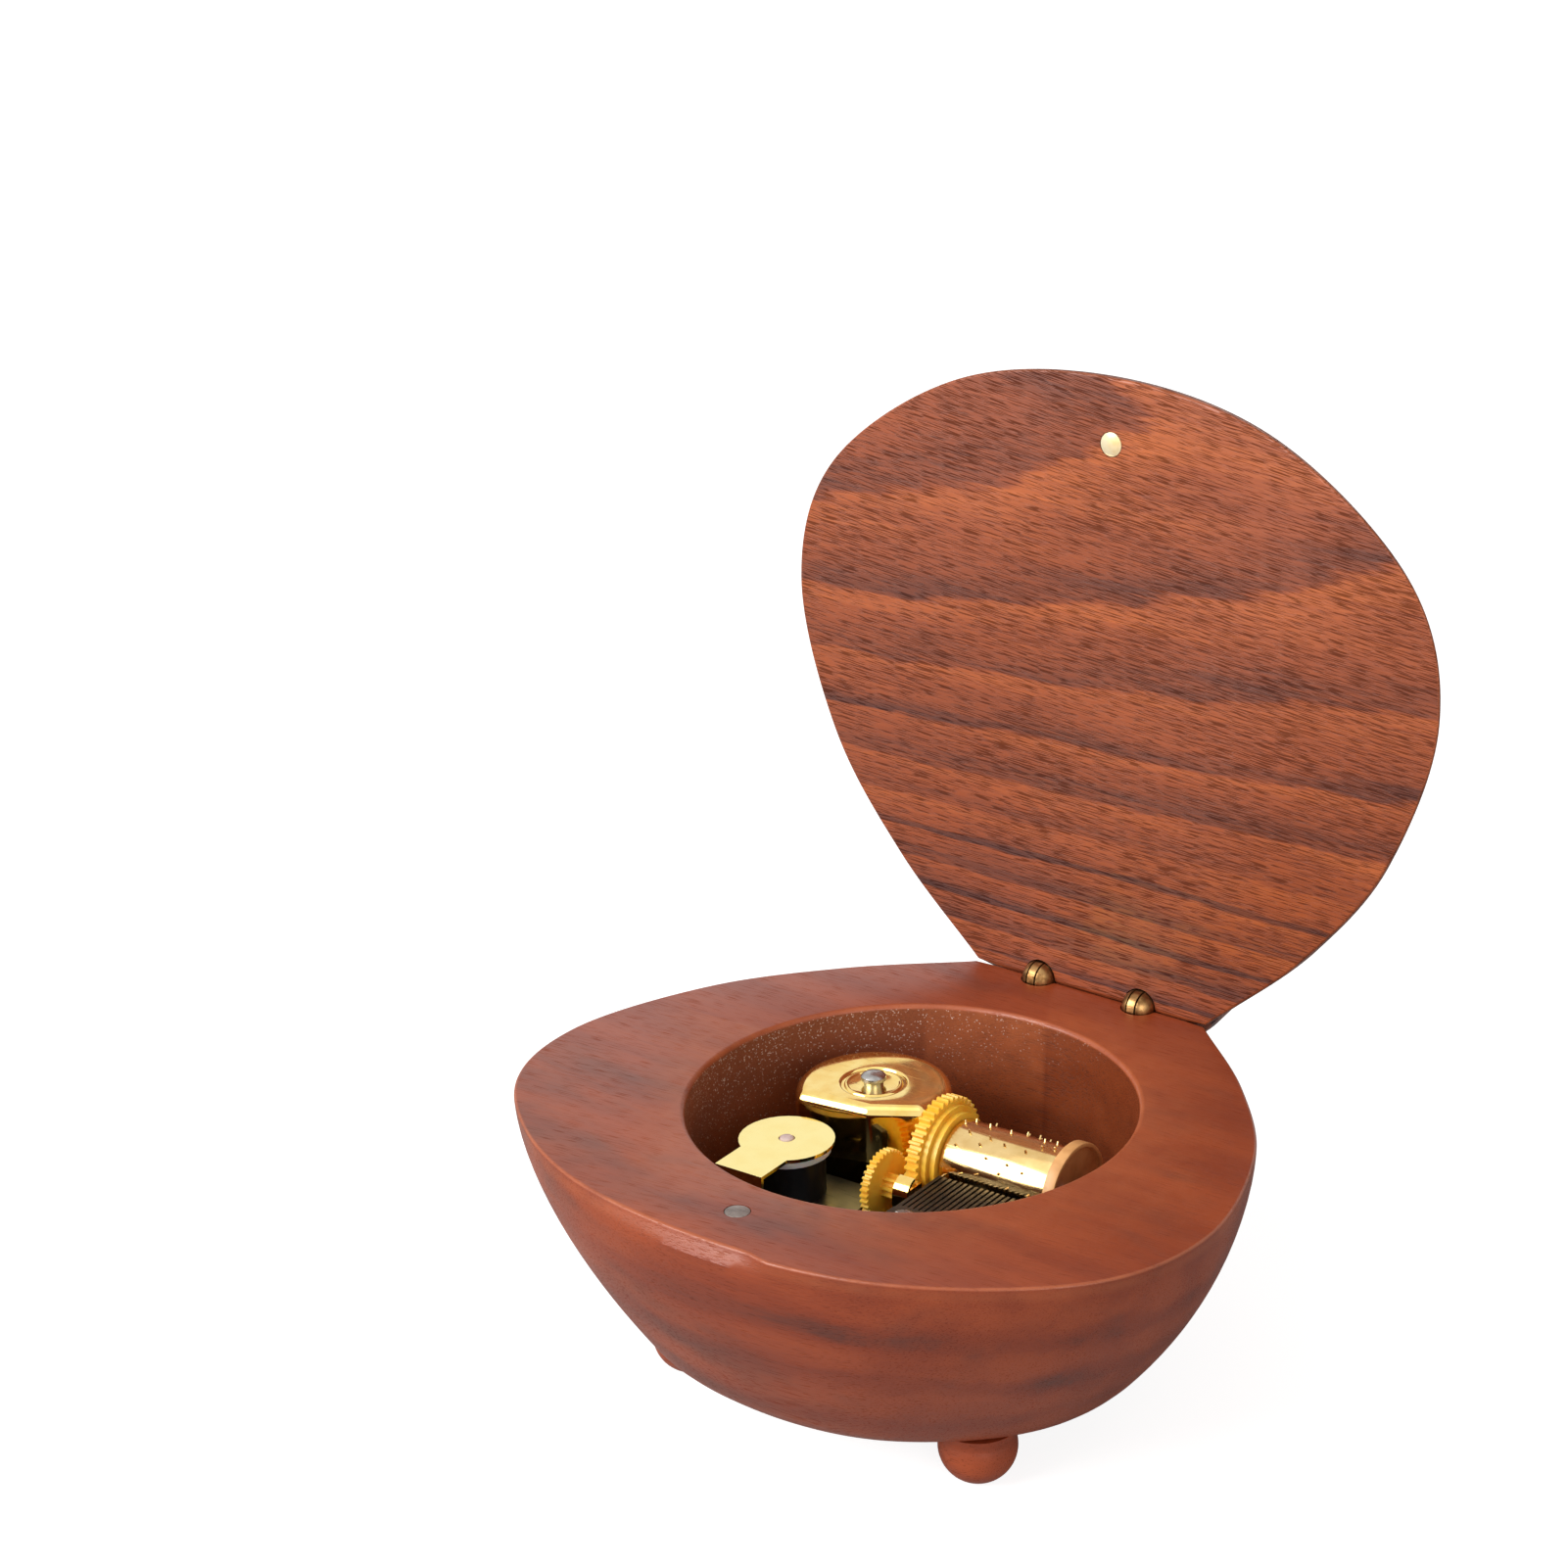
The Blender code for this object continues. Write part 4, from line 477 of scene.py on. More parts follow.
well_profile = [(WELL_RADIUS + WELL_EDGE + ABOVE, RIM_Z + ABOVE)]
for step in range(ROUND_STEPS + 1):
    angle = step / ROUND_STEPS * math.pi / 2
    radius = WELL_RADIUS + WELL_EDGE * (1 - math.sin(angle))
    well_profile.append((radius, RIM_Z - WELL_EDGE * (1 - math.cos(angle))))
well_profile += [(WELL_RADIUS, WELL_FLOOR_Z + 1.0 * MM), (WELL_RADIUS - 0.3 * MM, WELL_FLOOR_Z + 0.3 * MM)]
well_profile.append((WELL_RADIUS - 1.0 * MM, WELL_FLOOR_Z))
cut(bowl, set_down(turned("well_cutter", well_profile, 160), box_at(0, WELL_BACK)))
key_profile = (
    (KEY_PASSAGE_RADIUS, WELL_FLOOR_Z + ABOVE),
    (KEY_PASSAGE_RADIUS, KEY_RECESS_TOP),
    (KEY_RECESS_RADIUS, KEY_RECESS_TOP),
    (KEY_RECESS_RADIUS, BOWL_BOTTOM + 0.5 * MM),
    (KEY_RECESS_RADIUS + 1.5 * MM, BOWL_BOTTOM - ABOVE),
)
cut(bowl, set_down(turned("key_cutter", key_profile, 96), box_at(HOUSING_X, HOUSING_BACK)))
hole_profile = ((HINGE_HOLE_RADIUS, RIM_Z + ABOVE), (HINGE_HOLE_RADIUS, RIM_Z - HINGE_HOLE_DEPTH))
for side in (-1, 1):
    cut(bowl, set_down(turned("hinge_cutter", hole_profile, 48), box_at(side * HINGE_X, 0)))
pocket_profile = ((MAGNET_POCKET, RIM_Z + ABOVE), (MAGNET_POCKET, RIM_Z - MAGNET_LENGTH))
cut(bowl, set_down(turned("magnet_cutter", pocket_profile, 48), box_at(0, MAGNET_BACK)))
MOUNT_SCREWS = ((-6.0 * MM, -31.5 * MM), (38.3 * MM, 2.5 * MM), (22.0 * MM, -30.5 * MM))
SCREW_SINK_RADIUS = 2.75 * MM
SCREW_SINK_TOP = BOWL_BOTTOM + 2.5 * MM - MOVEMENT_Z
for spot_x, spot_y in MOUNT_SCREWS:
    sink = turned("screw_cutter", ((SCREW_SINK_RADIUS, SCREW_SINK_TOP), (SCREW_SINK_RADIUS, -0.05)), 32)
    cut(bowl, set_down(sink, movement_matrix(spot_x, spot_y)))
smoothed(bowl)


def srgb(red, green, blue):
    """A colour as a paint chart gives it, from 0 to 255, for a shader socket."""
    levels = []
    for value in (red, green, blue):
        part = value / 255.0
        levels.append(part / 12.92 if part <= 0.04045 else ((part + 0.055) / 1.055) ** 2.4)
    return (*levels, 1.0)


def mix_colour(mask, low, high):
    """The low colour where the mask is 0 and the high one where it is 1."""
    node = add(mask.socket.id_data, "ShaderNodeMix", data_type="RGBA")
    plug(mask, node.inputs[0])
    plug(low, node.inputs[6])
    plug(high, node.inputs[7])
    return node.outputs[2]


def new_group(name, inputs, outputs):
    """A shader group. A socket's default tells its kind: a number, a colour, or None for a place."""
    kinds = {float: "NodeSocketFloat", tuple: "NodeSocketColor", type(None): "NodeSocketVector"}
    group = bpy.data.node_groups.new(name, "ShaderNodeTree")
    for socket, value in inputs.items():
        made = group.interface.new_socket(socket, in_out="INPUT", socket_type=kinds[type(value)])
        if value is not None:
            made.default_value = value
    for socket in outputs:
        kind = "NodeSocketColor" if socket == "Color" else "NodeSocketFloat"
        group.interface.new_socket(socket, in_out="OUTPUT", socket_type=kind)
    return group, add(group, "NodeGroupInput"), add(group, "NodeGroupOutput")


def noise(place, scale, detail=2.0, roughness=0.5, shift=0.0):
    """Cloudy noise at a place, drawn out along the axes where the scale is small."""
    tree = place.id_data
    stretched = add(tree, "ShaderNodeMapping", vector_type="POINT", Scale=scale)
    plug(place, stretched.inputs["Vector"])
    node = add(tree, "ShaderNodeTexNoise", noise_dimensions="4D", Scale=1.0)
    plug(detail, node.inputs["Detail"])
    plug(roughness, node.inputs["Roughness"])
    plug(stretched.outputs[0], node.inputs["Vector"])
    plug(shift, node.inputs["W"])
    return Number(node.outputs[0])


def step_up(value, low, high):
    """0 below the low level and 1 above the high one, with a smooth rise between them."""
    tree = value.socket.id_data
    node = add(tree, "ShaderNodeMapRange", interpolation_type="SMOOTHSTEP", From_Min=low, From_Max=high)
    plug(value, node.inputs["Value"])
    return Number(node.outputs[0])


FIGURE_COLOUR = srgb(78, 50, 44)
PORE_COLOUR = srgb(44, 26, 24)
FOLD_BLUNTNESS = 4.0
LEAN_REACH = 85.0
FIBRE_SHEAR = 0.0013
BASE_TONE = 0.86
PORE_LEVEL = 0.72
PORE_EDGE = 16.0


def make_timber():
    """Walnut as a solid block in millimetres: growth layers, fibres along X, and pores as fine dashes.

    The layers fold along a line across the block. They lie close together far from it and far apart near
    it, where they close to points, so a flat face shows a cathedral and a dome shows ovals.
    """
    group, given, result = new_group(
        "timber",
        {
            "Place": None, "Fold": 0.0, "Rise": 0.0, "Curve": 0.0, "Tilt": 0.0, "Depth": 0.15, "Start": 0.0,
            "Seed": 0.0, "Waves": 0.5, "Ring Strength": 0.6, "Softness": 0.0, "Clouds": 0.4, "Fade": 0.0,
            "Figure": 0.0, "Streaks": 0.3, "Pore Depth": 0.6, "Pore Count": 0.5,
            "Pale": srgb(180, 104, 68), "Middle": srgb(152, 78, 52), "Dark": srgb(84, 46, 40),
        },
        ("Color", "Roughness", "Height", "Shine"),
    )
    place = given.outputs["Place"]
    amount = {socket.name: Number(socket) for socket in given.outputs if socket.type == "VALUE"}
    seed = amount["Seed"]
    split = add(group, "ShaderNodeSeparateXYZ")
    plug(place, split.inputs[0])
    x, y, z = (Number(socket) for socket in split.outputs)

    # How many layers lie between the fold and this place
    off_fold = y - amount["Fold"]
    square = off_fold * off_fold + FOLD_BLUNTNESS
    away = worked("SQRT", square)
    lean = (1.0 - away * (1.0 / LEAN_REACH)) * x * amount["Tilt"]
    slow = noise(place, (0.012, 0.035, 0.035), shift=seed) - 0.5
    quick = noise(place, (0.04, 0.4, 0.4), 4.0, 0.6, seed) - 0.5
    ring = away * amount["Rise"] + square * away * amount["Curve"] + lean + z * amount["Depth"]
    ring = ring + slow * amount["Waves"] + quick * 0.5 + amount["Start"]

    # Each layer darkens slowly towards its late wood and ends at a sharp edge, or swells softly instead
    along = worked("FRACT", ring)
    sharp = step_up(along, 0.10, 0.95) * (1.0 - step_up(along, 0.91, 1.0))
    swell = ((worked("SINE", ring * math.tau) + 0.6) * 0.62).clamped()
    late = sharp * (1.0 - amount["Softness"]) + swell * amount["Softness"]
    own = add(group, "ShaderNodeTexWhiteNoise", noise_dimensions="1D")
    plug(worked("FLOOR", ring + 0.25) + seed, own.inputs["W"])
    late = late * ((Number(own.outputs[0]) * 0.55 + 0.45) * amount["Ring Strength"])

    # The tone also drifts in clouds, in streaks along the fibres, and in greyish patches of figure. It is
    # also painted darker with distance from the fold, as painted shade.
    cloud = (noise(place, (0.02, 0.11, 0.11), 3.0, shift=seed) - 0.5) * amount["Clouds"]
    streaks = noise(place, (0.035, 1.6, 1.6), 3.0, 0.6)
    streak = (streaks - 0.5) * amount["Streaks"]
    tone = BASE_TONE - late + (cloud + streak) - away * amount["Fade"]
    base = mix_colour(step_up(tone, 0.0, 0.6), given.outputs["Dark"], given.outputs["Middle"])
    base = mix_colour(step_up(tone, 0.5, 1.0), base, given.outputs["Pale"])
    figure = noise(place, (0.022, 0.06, 0.06), 3.0, 0.6, seed + 2.5)
    base = mix_colour(step_up(figure, 0.5, 0.72) * amount["Figure"], base, FIGURE_COLOUR)

    # Pores are open vessels, which show as dull dashes on a face and as dots on end grain
    fibre = add(group, "ShaderNodeCombineXYZ")
    for value, socket in zip((x, y + x * y * FIBRE_SHEAR, z), fibre.inputs):
        plug(value, socket)
    pores = noise(fibre.outputs[0], (0.24, 6.0, 6.0), 1.0, 0.4)
    crowd = noise(place, (0.05, 0.09, 0.09), 1.0)
    threshold = PORE_LEVEL - (crowd + 0.5) * amount["Pore Count"] * 0.2
    pore = ((pores - threshold) * PORE_EDGE).clamped()
    shown = pore * amount["Pore Depth"]
    plug(mix_colour(shown, base, PORE_COLOUR), result.inputs["Color"])
    plug(streaks * 0.14 + 0.28 + pore * 0.25, result.inputs["Roughness"])
    plug(0.5 - shown * 0.7, result.inputs["Shine"])
    plug(streaks * 0.25 - shown * 1.8, result.inputs["Height"])
    return group


TIMBER = make_timber()
# The lighter colour of worn polish and of a painted highlight on the rounded edges
WEAR_AND_HIGHLIGHT_COLOUR = srgb(184, 100, 58)


def timber_material(name, centre, turn_x=0.0, gloss=0.03, **grain):
    """Oiled walnut. The block is centred and turned so that the grain lies as it does in the real piece."""
    material, tree, shader = new_material(name)
    place = add(tree, "ShaderNodeTexCoord")
    centred = add(tree, "ShaderNodeMapping", vector_type="POINT", Location=-Vector(centre))
    plug(place.outputs["Object"], centred.inputs["Vector"])
    in_mm = add(tree, "ShaderNodeMapping", vector_type="POINT", Scale=[1 / MM] * 3)
    plug((turn_x, 0.0, 0.0), in_mm.inputs["Rotation"])
    plug(centred.outputs[0], in_mm.inputs["Vector"])
    wood = add(tree, "ShaderNodeGroup", node_tree=TIMBER, **grain)
    plug(in_mm.outputs[0], wood.inputs["Place"])
    # The edge's wear and painted highlight are mixed in as one lighter colour, broken up by noise
    wear_and_highlight_source = add(tree, "ShaderNodeAttribute", attribute_name="wear_and_highlight")
    wear_and_highlight_noise = add(tree, "ShaderNodeTexNoise", Scale=0.25, Detail=3.0)
    plug(in_mm.outputs[0], wear_and_highlight_noise.inputs["Vector"])
    wear_and_highlight_mask = (Number(wear_and_highlight_source.outputs["Fac"]) * (Number(wear_and_highlight_noise.outputs[0]) * 1.1)).clamped()
    plug(mix_colour(wear_and_highlight_mask, wood.outputs["Color"], WEAR_AND_HIGHLIGHT_COLOUR), shader.inputs["Base Color"])
    plug(wood.outputs["Roughness"], shader.inputs["Roughness"])
    plug(wood.outputs["Shine"], shader.inputs["Specular IOR Level"])
    bump = add(tree, "ShaderNodeBump", Strength=0.35, Distance=0.00012)
    plug(wood.outputs["Height"], bump.inputs["Height"])
    plug(bump.outputs[0], shader.inputs["Normal"])
    plug(gloss, shader.inputs["Coat Weight"])
    plug(0.28, shader.inputs["Coat Roughness"])
    return material


BOWL_CENTRE = (0.0, HINGE.y, RIM_Z)
BOWL_GRAIN = {
    "Rise": 0.005, "Depth": 0.100, "Tilt": 0.002, "Seed": 4.0, "Waves": 1.3, "Ring_Strength": 0.42,
    "Softness": 0.85,
}
bowl_wood = timber_material(
    "bowl_walnut", BOWL_CENTRE, **BOWL_GRAIN, Pore_Depth=0.2, Pore_Count=0.75, Streaks=0.36, Clouds=1.5,
    Figure=0.6, Pale=srgb(156, 68, 31), Middle=srgb(135, 54, 24), Dark=srgb(80, 42, 34),
)
# Painted shade: the well's walnut is the bowl's grain in darker colours, standing in for the shade inside
# the well
well_wood_painted_shade = timber_material(
    "well_walnut_painted_shade", BOWL_CENTRE, **BOWL_GRAIN, Pore_Depth=0.5, Pore_Count=0.8, gloss=0.0,
    Pale=srgb(120, 54, 27), Middle=srgb(104, 44, 21), Dark=srgb(72, 34, 20),
)
# The bored wall is left as the cutter tore it and is dull. Towards the upper left its colour is painted
# lighter, as painted light falling in from above, and bright specks there are painted glints of single
# fibres.
PAINTED_LIGHT_COLOUR = srgb(160, 98, 72)
PAINTED_GLINT_COLOUR = srgb(232, 204, 190)
GLINTS_PER_METRE = 5000.0
PAINTED_LIGHT_TO_LEFT = -16.0
PAINTED_LIGHT_UPWARD = 40.0
PAINTED_LIGHT_HEIGHT = 0.036
tree = well_wood_painted_shade.node_tree
shader = tree.nodes["Principled BSDF"]
place = tree.nodes["Texture Coordinate"].outputs["Object"]
split = add(tree, "ShaderNodeSeparateXYZ")
plug(place, split.inputs[0])
to_left = Number(split.outputs[0]) * PAINTED_LIGHT_TO_LEFT
upward = (Number(split.outputs[2]) - PAINTED_LIGHT_HEIGHT) * PAINTED_LIGHT_UPWARD
# Painted light: the wall's colour grows lighter upwards and to the left
painted_light = (to_left + upward - 0.1).clamped()
cells = add(tree, "ShaderNodeTexVoronoi", feature="F1", Scale=GLINTS_PER_METRE)
plug(place, cells.inputs["Vector"])
chance = add(tree, "ShaderNodeSeparateColor")
plug(cells.outputs["Color"], chance.inputs[0])
# Painted glints: bright specks, more of them where the painted light is stronger
painted_glint = ((Number(chance.outputs[0]) - (0.995 - painted_light * 0.11)) * 14.0).clamped()
inner_colour = shader.inputs["Base Color"].links[0].from_socket
inner_colour = mix_colour(painted_light * 0.5, inner_colour, PAINTED_LIGHT_COLOUR)
plug(mix_colour(painted_glint * 0.7, inner_colour, PAINTED_GLINT_COLOUR), shader.inputs["Base Color"])
shine = Number(shader.inputs["Specular IOR Level"].links[0].from_socket)
plug(shine * 0.35, shader.inputs["Specular IOR Level"])
bowl.data.materials.append(bowl_wood)
bowl.data.materials.append(well_wood_painted_shade)
well_middle = Vector((0.0, HINGE.y - WELL_BACK))
for face in bowl.data.polygons:
    from_middle = (Vector(face.center[:2]) - well_middle).length
    in_well = WELL_FLOOR_Z - 1.0 * MM < face.center.z < RIM_Z - WELL_EDGE / 2
    if in_well and from_middle < WELL_RADIUS + 0.1 * MM:
        face.material_index = 1
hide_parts("base_bowl")
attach(bowl, "base")

# Ball feet
# Three feet turned from the same walnut. Each is a ball with a short neck and a small flat that stands
# on the table. The dowels that hold them are hidden in the bowl.
FOOT_RADIUS = 6.3 * MM
FOOT_FLAT = 0.25 * MM
BALL_STEPS = 18
EASED = 40.0
FEET = {
    "foot_front_left": (-30.3 * MM, 70.5 * MM),
    "foot_front_right": (27.5 * MM, 71.0 * MM),
    "foot_back": (0.0, 14.0 * MM),
}
ball_z = FOOT_RADIUS - FOOT_FLAT
neck_z = BOWL_BOTTOM + 0.6 * MM
foot_profile = [(FOOT_RADIUS, neck_z)]
foot_profile += [(6.15 * MM, BOWL_BOTTOM - 0.2 * MM), (5.95 * MM, BOWL_BOTTOM - 0.9 * MM)]
start = math.asin((BOWL_BOTTOM - 1.5 * MM - ball_z) / FOOT_RADIUS)
end = -math.asin(ball_z / FOOT_RADIUS)
for step in range(BALL_STEPS + 1):
    angle = blend(start, end, step / BALL_STEPS)
    foot_profile.append((FOOT_RADIUS * math.cos(angle), ball_z + FOOT_RADIUS * math.sin(angle)))
foot_profile.append((0.6 * MM, 0.0))
for index, (node, (spot_x, back)) in enumerate(FEET.items()):
    foot = set_down(turned(f"{node}_ball", foot_profile, 64), box_at(spot_x, back))
    smoothed(foot, EASED)
    foot.data.materials.append(timber_material(
        f"{node}_walnut", (spot_x, HINGE.y - back, 0.0), Depth=0.12, Tilt=0.05, Seed=11.0 + index,
        Softness=0.8, Pore_Depth=0.4,
        Pale=srgb(182, 84, 44), Middle=srgb(160, 70, 36), Dark=srgb(98, 46, 32),
    ))
    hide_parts(node)
    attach(foot, "base")

# Domed lid
# The lid is cut from a flat-sawn block, so its growth layers show as ovals on the dome and as long
# bands on the flat inner face. It is highest just in front of the hinges and thins out to the catch.
LID_HEIGHT = 31.4 * MM
LID_APEX_BACK = 14.0 * MM
LID_SIDE_BACK_POWERS = (3.2, 1.1)
LID_SIDE_FRONT_POWERS = (1.25, 1.1)
LID_FRONT_POWERS = (1.8, 2.4)
LID_BACK_POWERS = (6.0, 4.0)
LID_ROUND = 0.5 * MM
LID_FACE = LID_GAP / 2
LID_LEVELS = 34
# Wear and a painted edge highlight on the lid's rounded edge
LID_WEAR_AND_HIGHLIGHT = 0.5
lid_place = Matrix.Translation(HINGE) @ Matrix.Rotation(-LID_OPEN, 4, "X")


def lid_ring(share):
    """The lid's outline at a share of its height."""
    height = share * LID_HEIGHT
    fall_back = superellipse(share, LID_BACK_POWERS)
    back = -LID_APEX_BACK * (1.0 - fall_back)
    front = blend(-LID_APEX_BACK, -RIM_LENGTH, superellipse(share, LID_FRONT_POWERS))
    wide_back = superellipse(share, LID_SIDE_BACK_POWERS)
    wide_front = superellipse(share, LID_SIDE_FRONT_POWERS)
    ring = []
    for x, along, edge in OUTLINE:
        y = blend(back, front, along)
        if edge:
            y += chamfer_reach(height) * fall_back
        ring.append((x * blend(wide_back, wide_front, along), y))
    return ring


lid_rings = []
lid_wear_and_highlight = []
for step in range(ROUND_STEPS + 1):
    angle = step / ROUND_STEPS * math.pi / 2
    height = LID_ROUND * (1 - math.cos(angle))
    ring = drawn_in(lid_ring(height / LID_HEIGHT), LID_ROUND * (1 - math.sin(angle)))
    lid_rings.append([(x, y, LID_FACE + height) for x, y in ring])
    # The lid's rounding gets wear and a painted edge highlight, strongest half way round it
    lid_wear_and_highlight.append(math.sin(2 * angle) * LID_WEAR_AND_HIGHLIGHT)
lid_shares = [1.2 * MM / LID_HEIGHT, 2.4 * MM / LID_HEIGHT, CHAMFER_DEPTH / LID_HEIGHT]
lower = math.asin(lid_shares[-1]) / (math.pi / 2)
for level_index in range(1, LID_LEVELS):
    lid_shares.append(math.sin(blend(lower, 1.0, level_index / LID_LEVELS) * math.pi / 2))
for share in lid_shares:
    lid_rings.append([(x, y, LID_FACE + share * LID_HEIGHT) for x, y in lid_ring(share)])
    lid_wear_and_highlight.append(0.0)
lid = carved_shell("domed_lid", lid_rings, lid_wear_and_highlight, apex=(0.0, -LID_APEX_BACK, LID_FACE + LID_HEIGHT))
lid_hole_profile = ((HINGE_HOLE_RADIUS, HINGE_HOLE_DEPTH), (HINGE_HOLE_RADIUS, -ABOVE))
for side in (-1, 1):
    hole = turned("hinge_cutter", lid_hole_profile, 48)
    cut(lid, set_down(hole, Matrix.Translation((side * HINGE_X, 0, 0))))
lid_pocket = ((MAGNET_POCKET, LID_FACE + MAGNET_LENGTH), (MAGNET_POCKET, -ABOVE))
cut(lid, set_down(turned("magnet_cutter", lid_pocket, 48), Matrix.Translation((0, -MAGNET_BACK, 0))))
set_down(lid, lid_place)
smoothed(lid)
# The lid's walnut is painted darker from its top down towards the hinge, as painted shade
lid.data.materials.append(timber_material(
    "lid_walnut", HINGE, turn_x=LID_OPEN, Fold=-98.6, Rise=0.033, Curve=7.7e-6, Tilt=0.0160, Depth=-0.18,
    Start=-0.22, Seed=7.0, Waves=0.4, Ring_Strength=0.8, Softness=0.2, Clouds=0.7, Fade=0.0020, Streaks=0.6,
    Pore_Depth=0.6, Pore_Count=1.1, Pale=srgb(190, 99, 48), Middle=srgb(150, 72, 37), Dark=srgb(84, 43, 34),
))
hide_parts("lid")
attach(lid, "lid_body")

# Barrel hinges
# Two small barrel hinges of aged brass, pressed into bored holes. The base half is a slotted ball, the
# lid half a flat tongue that turns in the slot on a steel pin.
BALL_RADIUS = 2.9 * MM
BALL_END = -0.27
BARREL_RADIUS = 2.8 * MM
BARREL_END = 10.0 * MM
SLOT_HALF = 1.0 * MM
SLOT_DEPTH = 3.4 * MM
SLOT_LENGTH = 9.0 * MM
HINGE_BALL_STEPS = 14
FORK_EDGE = 0.12 * MM
SHARP_ANGLE = 35.0
MERGE_WITHIN = 0.002 * MM


def make_marks():
    """Signs of making and use for hard surfaces: cloudy blotches, a fine tooth, and long scratches."""
    sockets = {"Place": None, "Size": 1.0}
    group, given, result = new_group("finish_marks", sockets, ("Blotch", "Tooth", "Scratch"))
    sized = add(group, "ShaderNodeVectorMath", operation="SCALE")
    plug(given.outputs["Place"], sized.inputs[0])
    plug(given.outputs["Size"], sized.inputs["Scale"])
    for name, scale, detail in (("Blotch", 350.0, 3.0), ("Tooth", 6000.0, 2.0)):
        cloud = add(group, "ShaderNodeTexNoise", Scale=scale, Detail=detail)
        plug(sized.outputs[0], cloud.inputs["Vector"])
        plug(cloud.outputs[0], result.inputs[name])
    lines = []
    for turn_z, stretch in ((0.5, (120.0, 5200.0, 700.0)), (2.1, (150.0, 4300.0, 600.0))):
        laid = add(group, "ShaderNodeMapping", vector_type="POINT", Scale=stretch)
        plug((0.3, 0.2, turn_z), laid.inputs["Rotation"])
        plug(sized.outputs[0], laid.inputs["Vector"])
        strips = add(group, "ShaderNodeTexNoise", Scale=1.0, Detail=0.0)
        plug(laid.outputs[0], strips.inputs["Vector"])
        lines.append(((Number(strips.outputs[0]) - 0.70) * 12.0).clamped())
    plug(worked("MAXIMUM", lines[0], lines[1]), result.inputs["Scratch"])
    return group


MARKS = make_marks()


def hard_material(
    name, colour, shade, roughness, metallic=0.0, spread=0.12, scratches=0.08, tooth=0.1, size=1.0,
):
    """Metal or moulding: two tones in soft blotches, uneven gloss, a fine tooth and faint scratches."""
    material, tree, shader = new_material(name)
    place = add(tree, "ShaderNodeTexCoord")
    marks = add(tree, "ShaderNodeGroup", node_tree=MARKS, Size=size)
    plug(place.outputs["Object"], marks.inputs["Place"])
    cloud = add(tree, "ShaderNodeMapRange", From_Min=0.38, From_Max=0.66)
    plug(marks.outputs["Blotch"], cloud.inputs["Value"])
    blotch = Number(cloud.outputs[0])
    scratch = Number(marks.outputs["Scratch"])
    plug(mix_colour(blotch, colour, shade), shader.inputs["Base Color"])
    plug(blotch * spread + scratch * (scratches * 3) + roughness, shader.inputs["Roughness"])
    bump = add(tree, "ShaderNodeBump", Strength=0.5, Distance=0.00003)
    plug(Number(marks.outputs["Tooth"]) * tooth - scratch * scratches, bump.inputs["Height"])
    plug(bump.outputs[0], shader.inputs["Normal"])
    plug(metallic, shader.inputs["Metallic"])
    return material


def break_edges(obj, width, angle, segments=2):
    """Takes the sharpness off the edges, as a file or a mould does."""
    only(obj)
    bevel = obj.modifiers.new("broken_edges", "BEVEL")
    bevel.width = width
    bevel.segments = segments
    bevel.limit_method = "ANGLE"
    bevel.angle_limit = math.radians(angle)
    bpy.ops.object.modifier_apply(modifier="broken_edges")
    return smoothed(obj, angle)


def fitted(obj, node, body, material):
    """Gives the finished piece its surface and puts it in the place of its solid."""
    obj.data.materials.clear()
    obj.data.materials.append(material)
    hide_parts(node)
    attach(obj, body)
    return obj


def refined(name, node, body, material, edge, segments=2):
    """A finished copy of a solid in its place, with its flat faces made whole and its edges broken."""
    obj = bpy.data.objects.new(name, NODES[node].data.copy())
    bpy.context.scene.collection.objects.link(obj)
    only(obj)
    bpy.ops.object.mode_set(mode="EDIT")
    bpy.ops.mesh.select_all(action="SELECT")
    bpy.ops.mesh.remove_doubles(threshold=MERGE_WITHIN)
    bpy.ops.mesh.dissolve_limited(angle_limit=math.radians(1.0))
    bpy.ops.object.mode_set(mode="OBJECT")
    break_edges(obj, edge, SHARP_ANGLE, segments)
    even = obj.modifiers.new("even_faces", "WEIGHTED_NORMAL")
    even.keep_sharp = True
    bpy.ops.object.modifier_apply(modifier="even_faces")
    return fitted(obj, node, body, material)


aged_brass = hard_material(
    "aged_brass", srgb(180, 138, 88), srgb(112, 78, 44), 0.28, 1.0, scratches=0.2, size=2.0,
)
dark_steel = hard_material("dark_steel", srgb(78, 68, 58), srgb(56, 48, 42), 0.36, 0.8, scratches=0.2)
bright_steel = hard_material("bright_steel", srgb(188, 186, 184), srgb(150, 146, 142), 0.20, 1.0)
ball_profile = []
for step in range(1, HINGE_BALL_STEPS + 1):
    angle = blend(math.pi / 2, BALL_END, step / HINGE_BALL_STEPS)
    ball_profile.append((BALL_RADIUS * math.cos(angle), BALL_RADIUS * math.sin(angle)))
ball_profile += [(BARREL_RADIUS, -2.0 * MM), (BARREL_RADIUS, 0.3 * MM - BARREL_END)]
ball_profile.append((2.5 * MM, -BARREL_END))
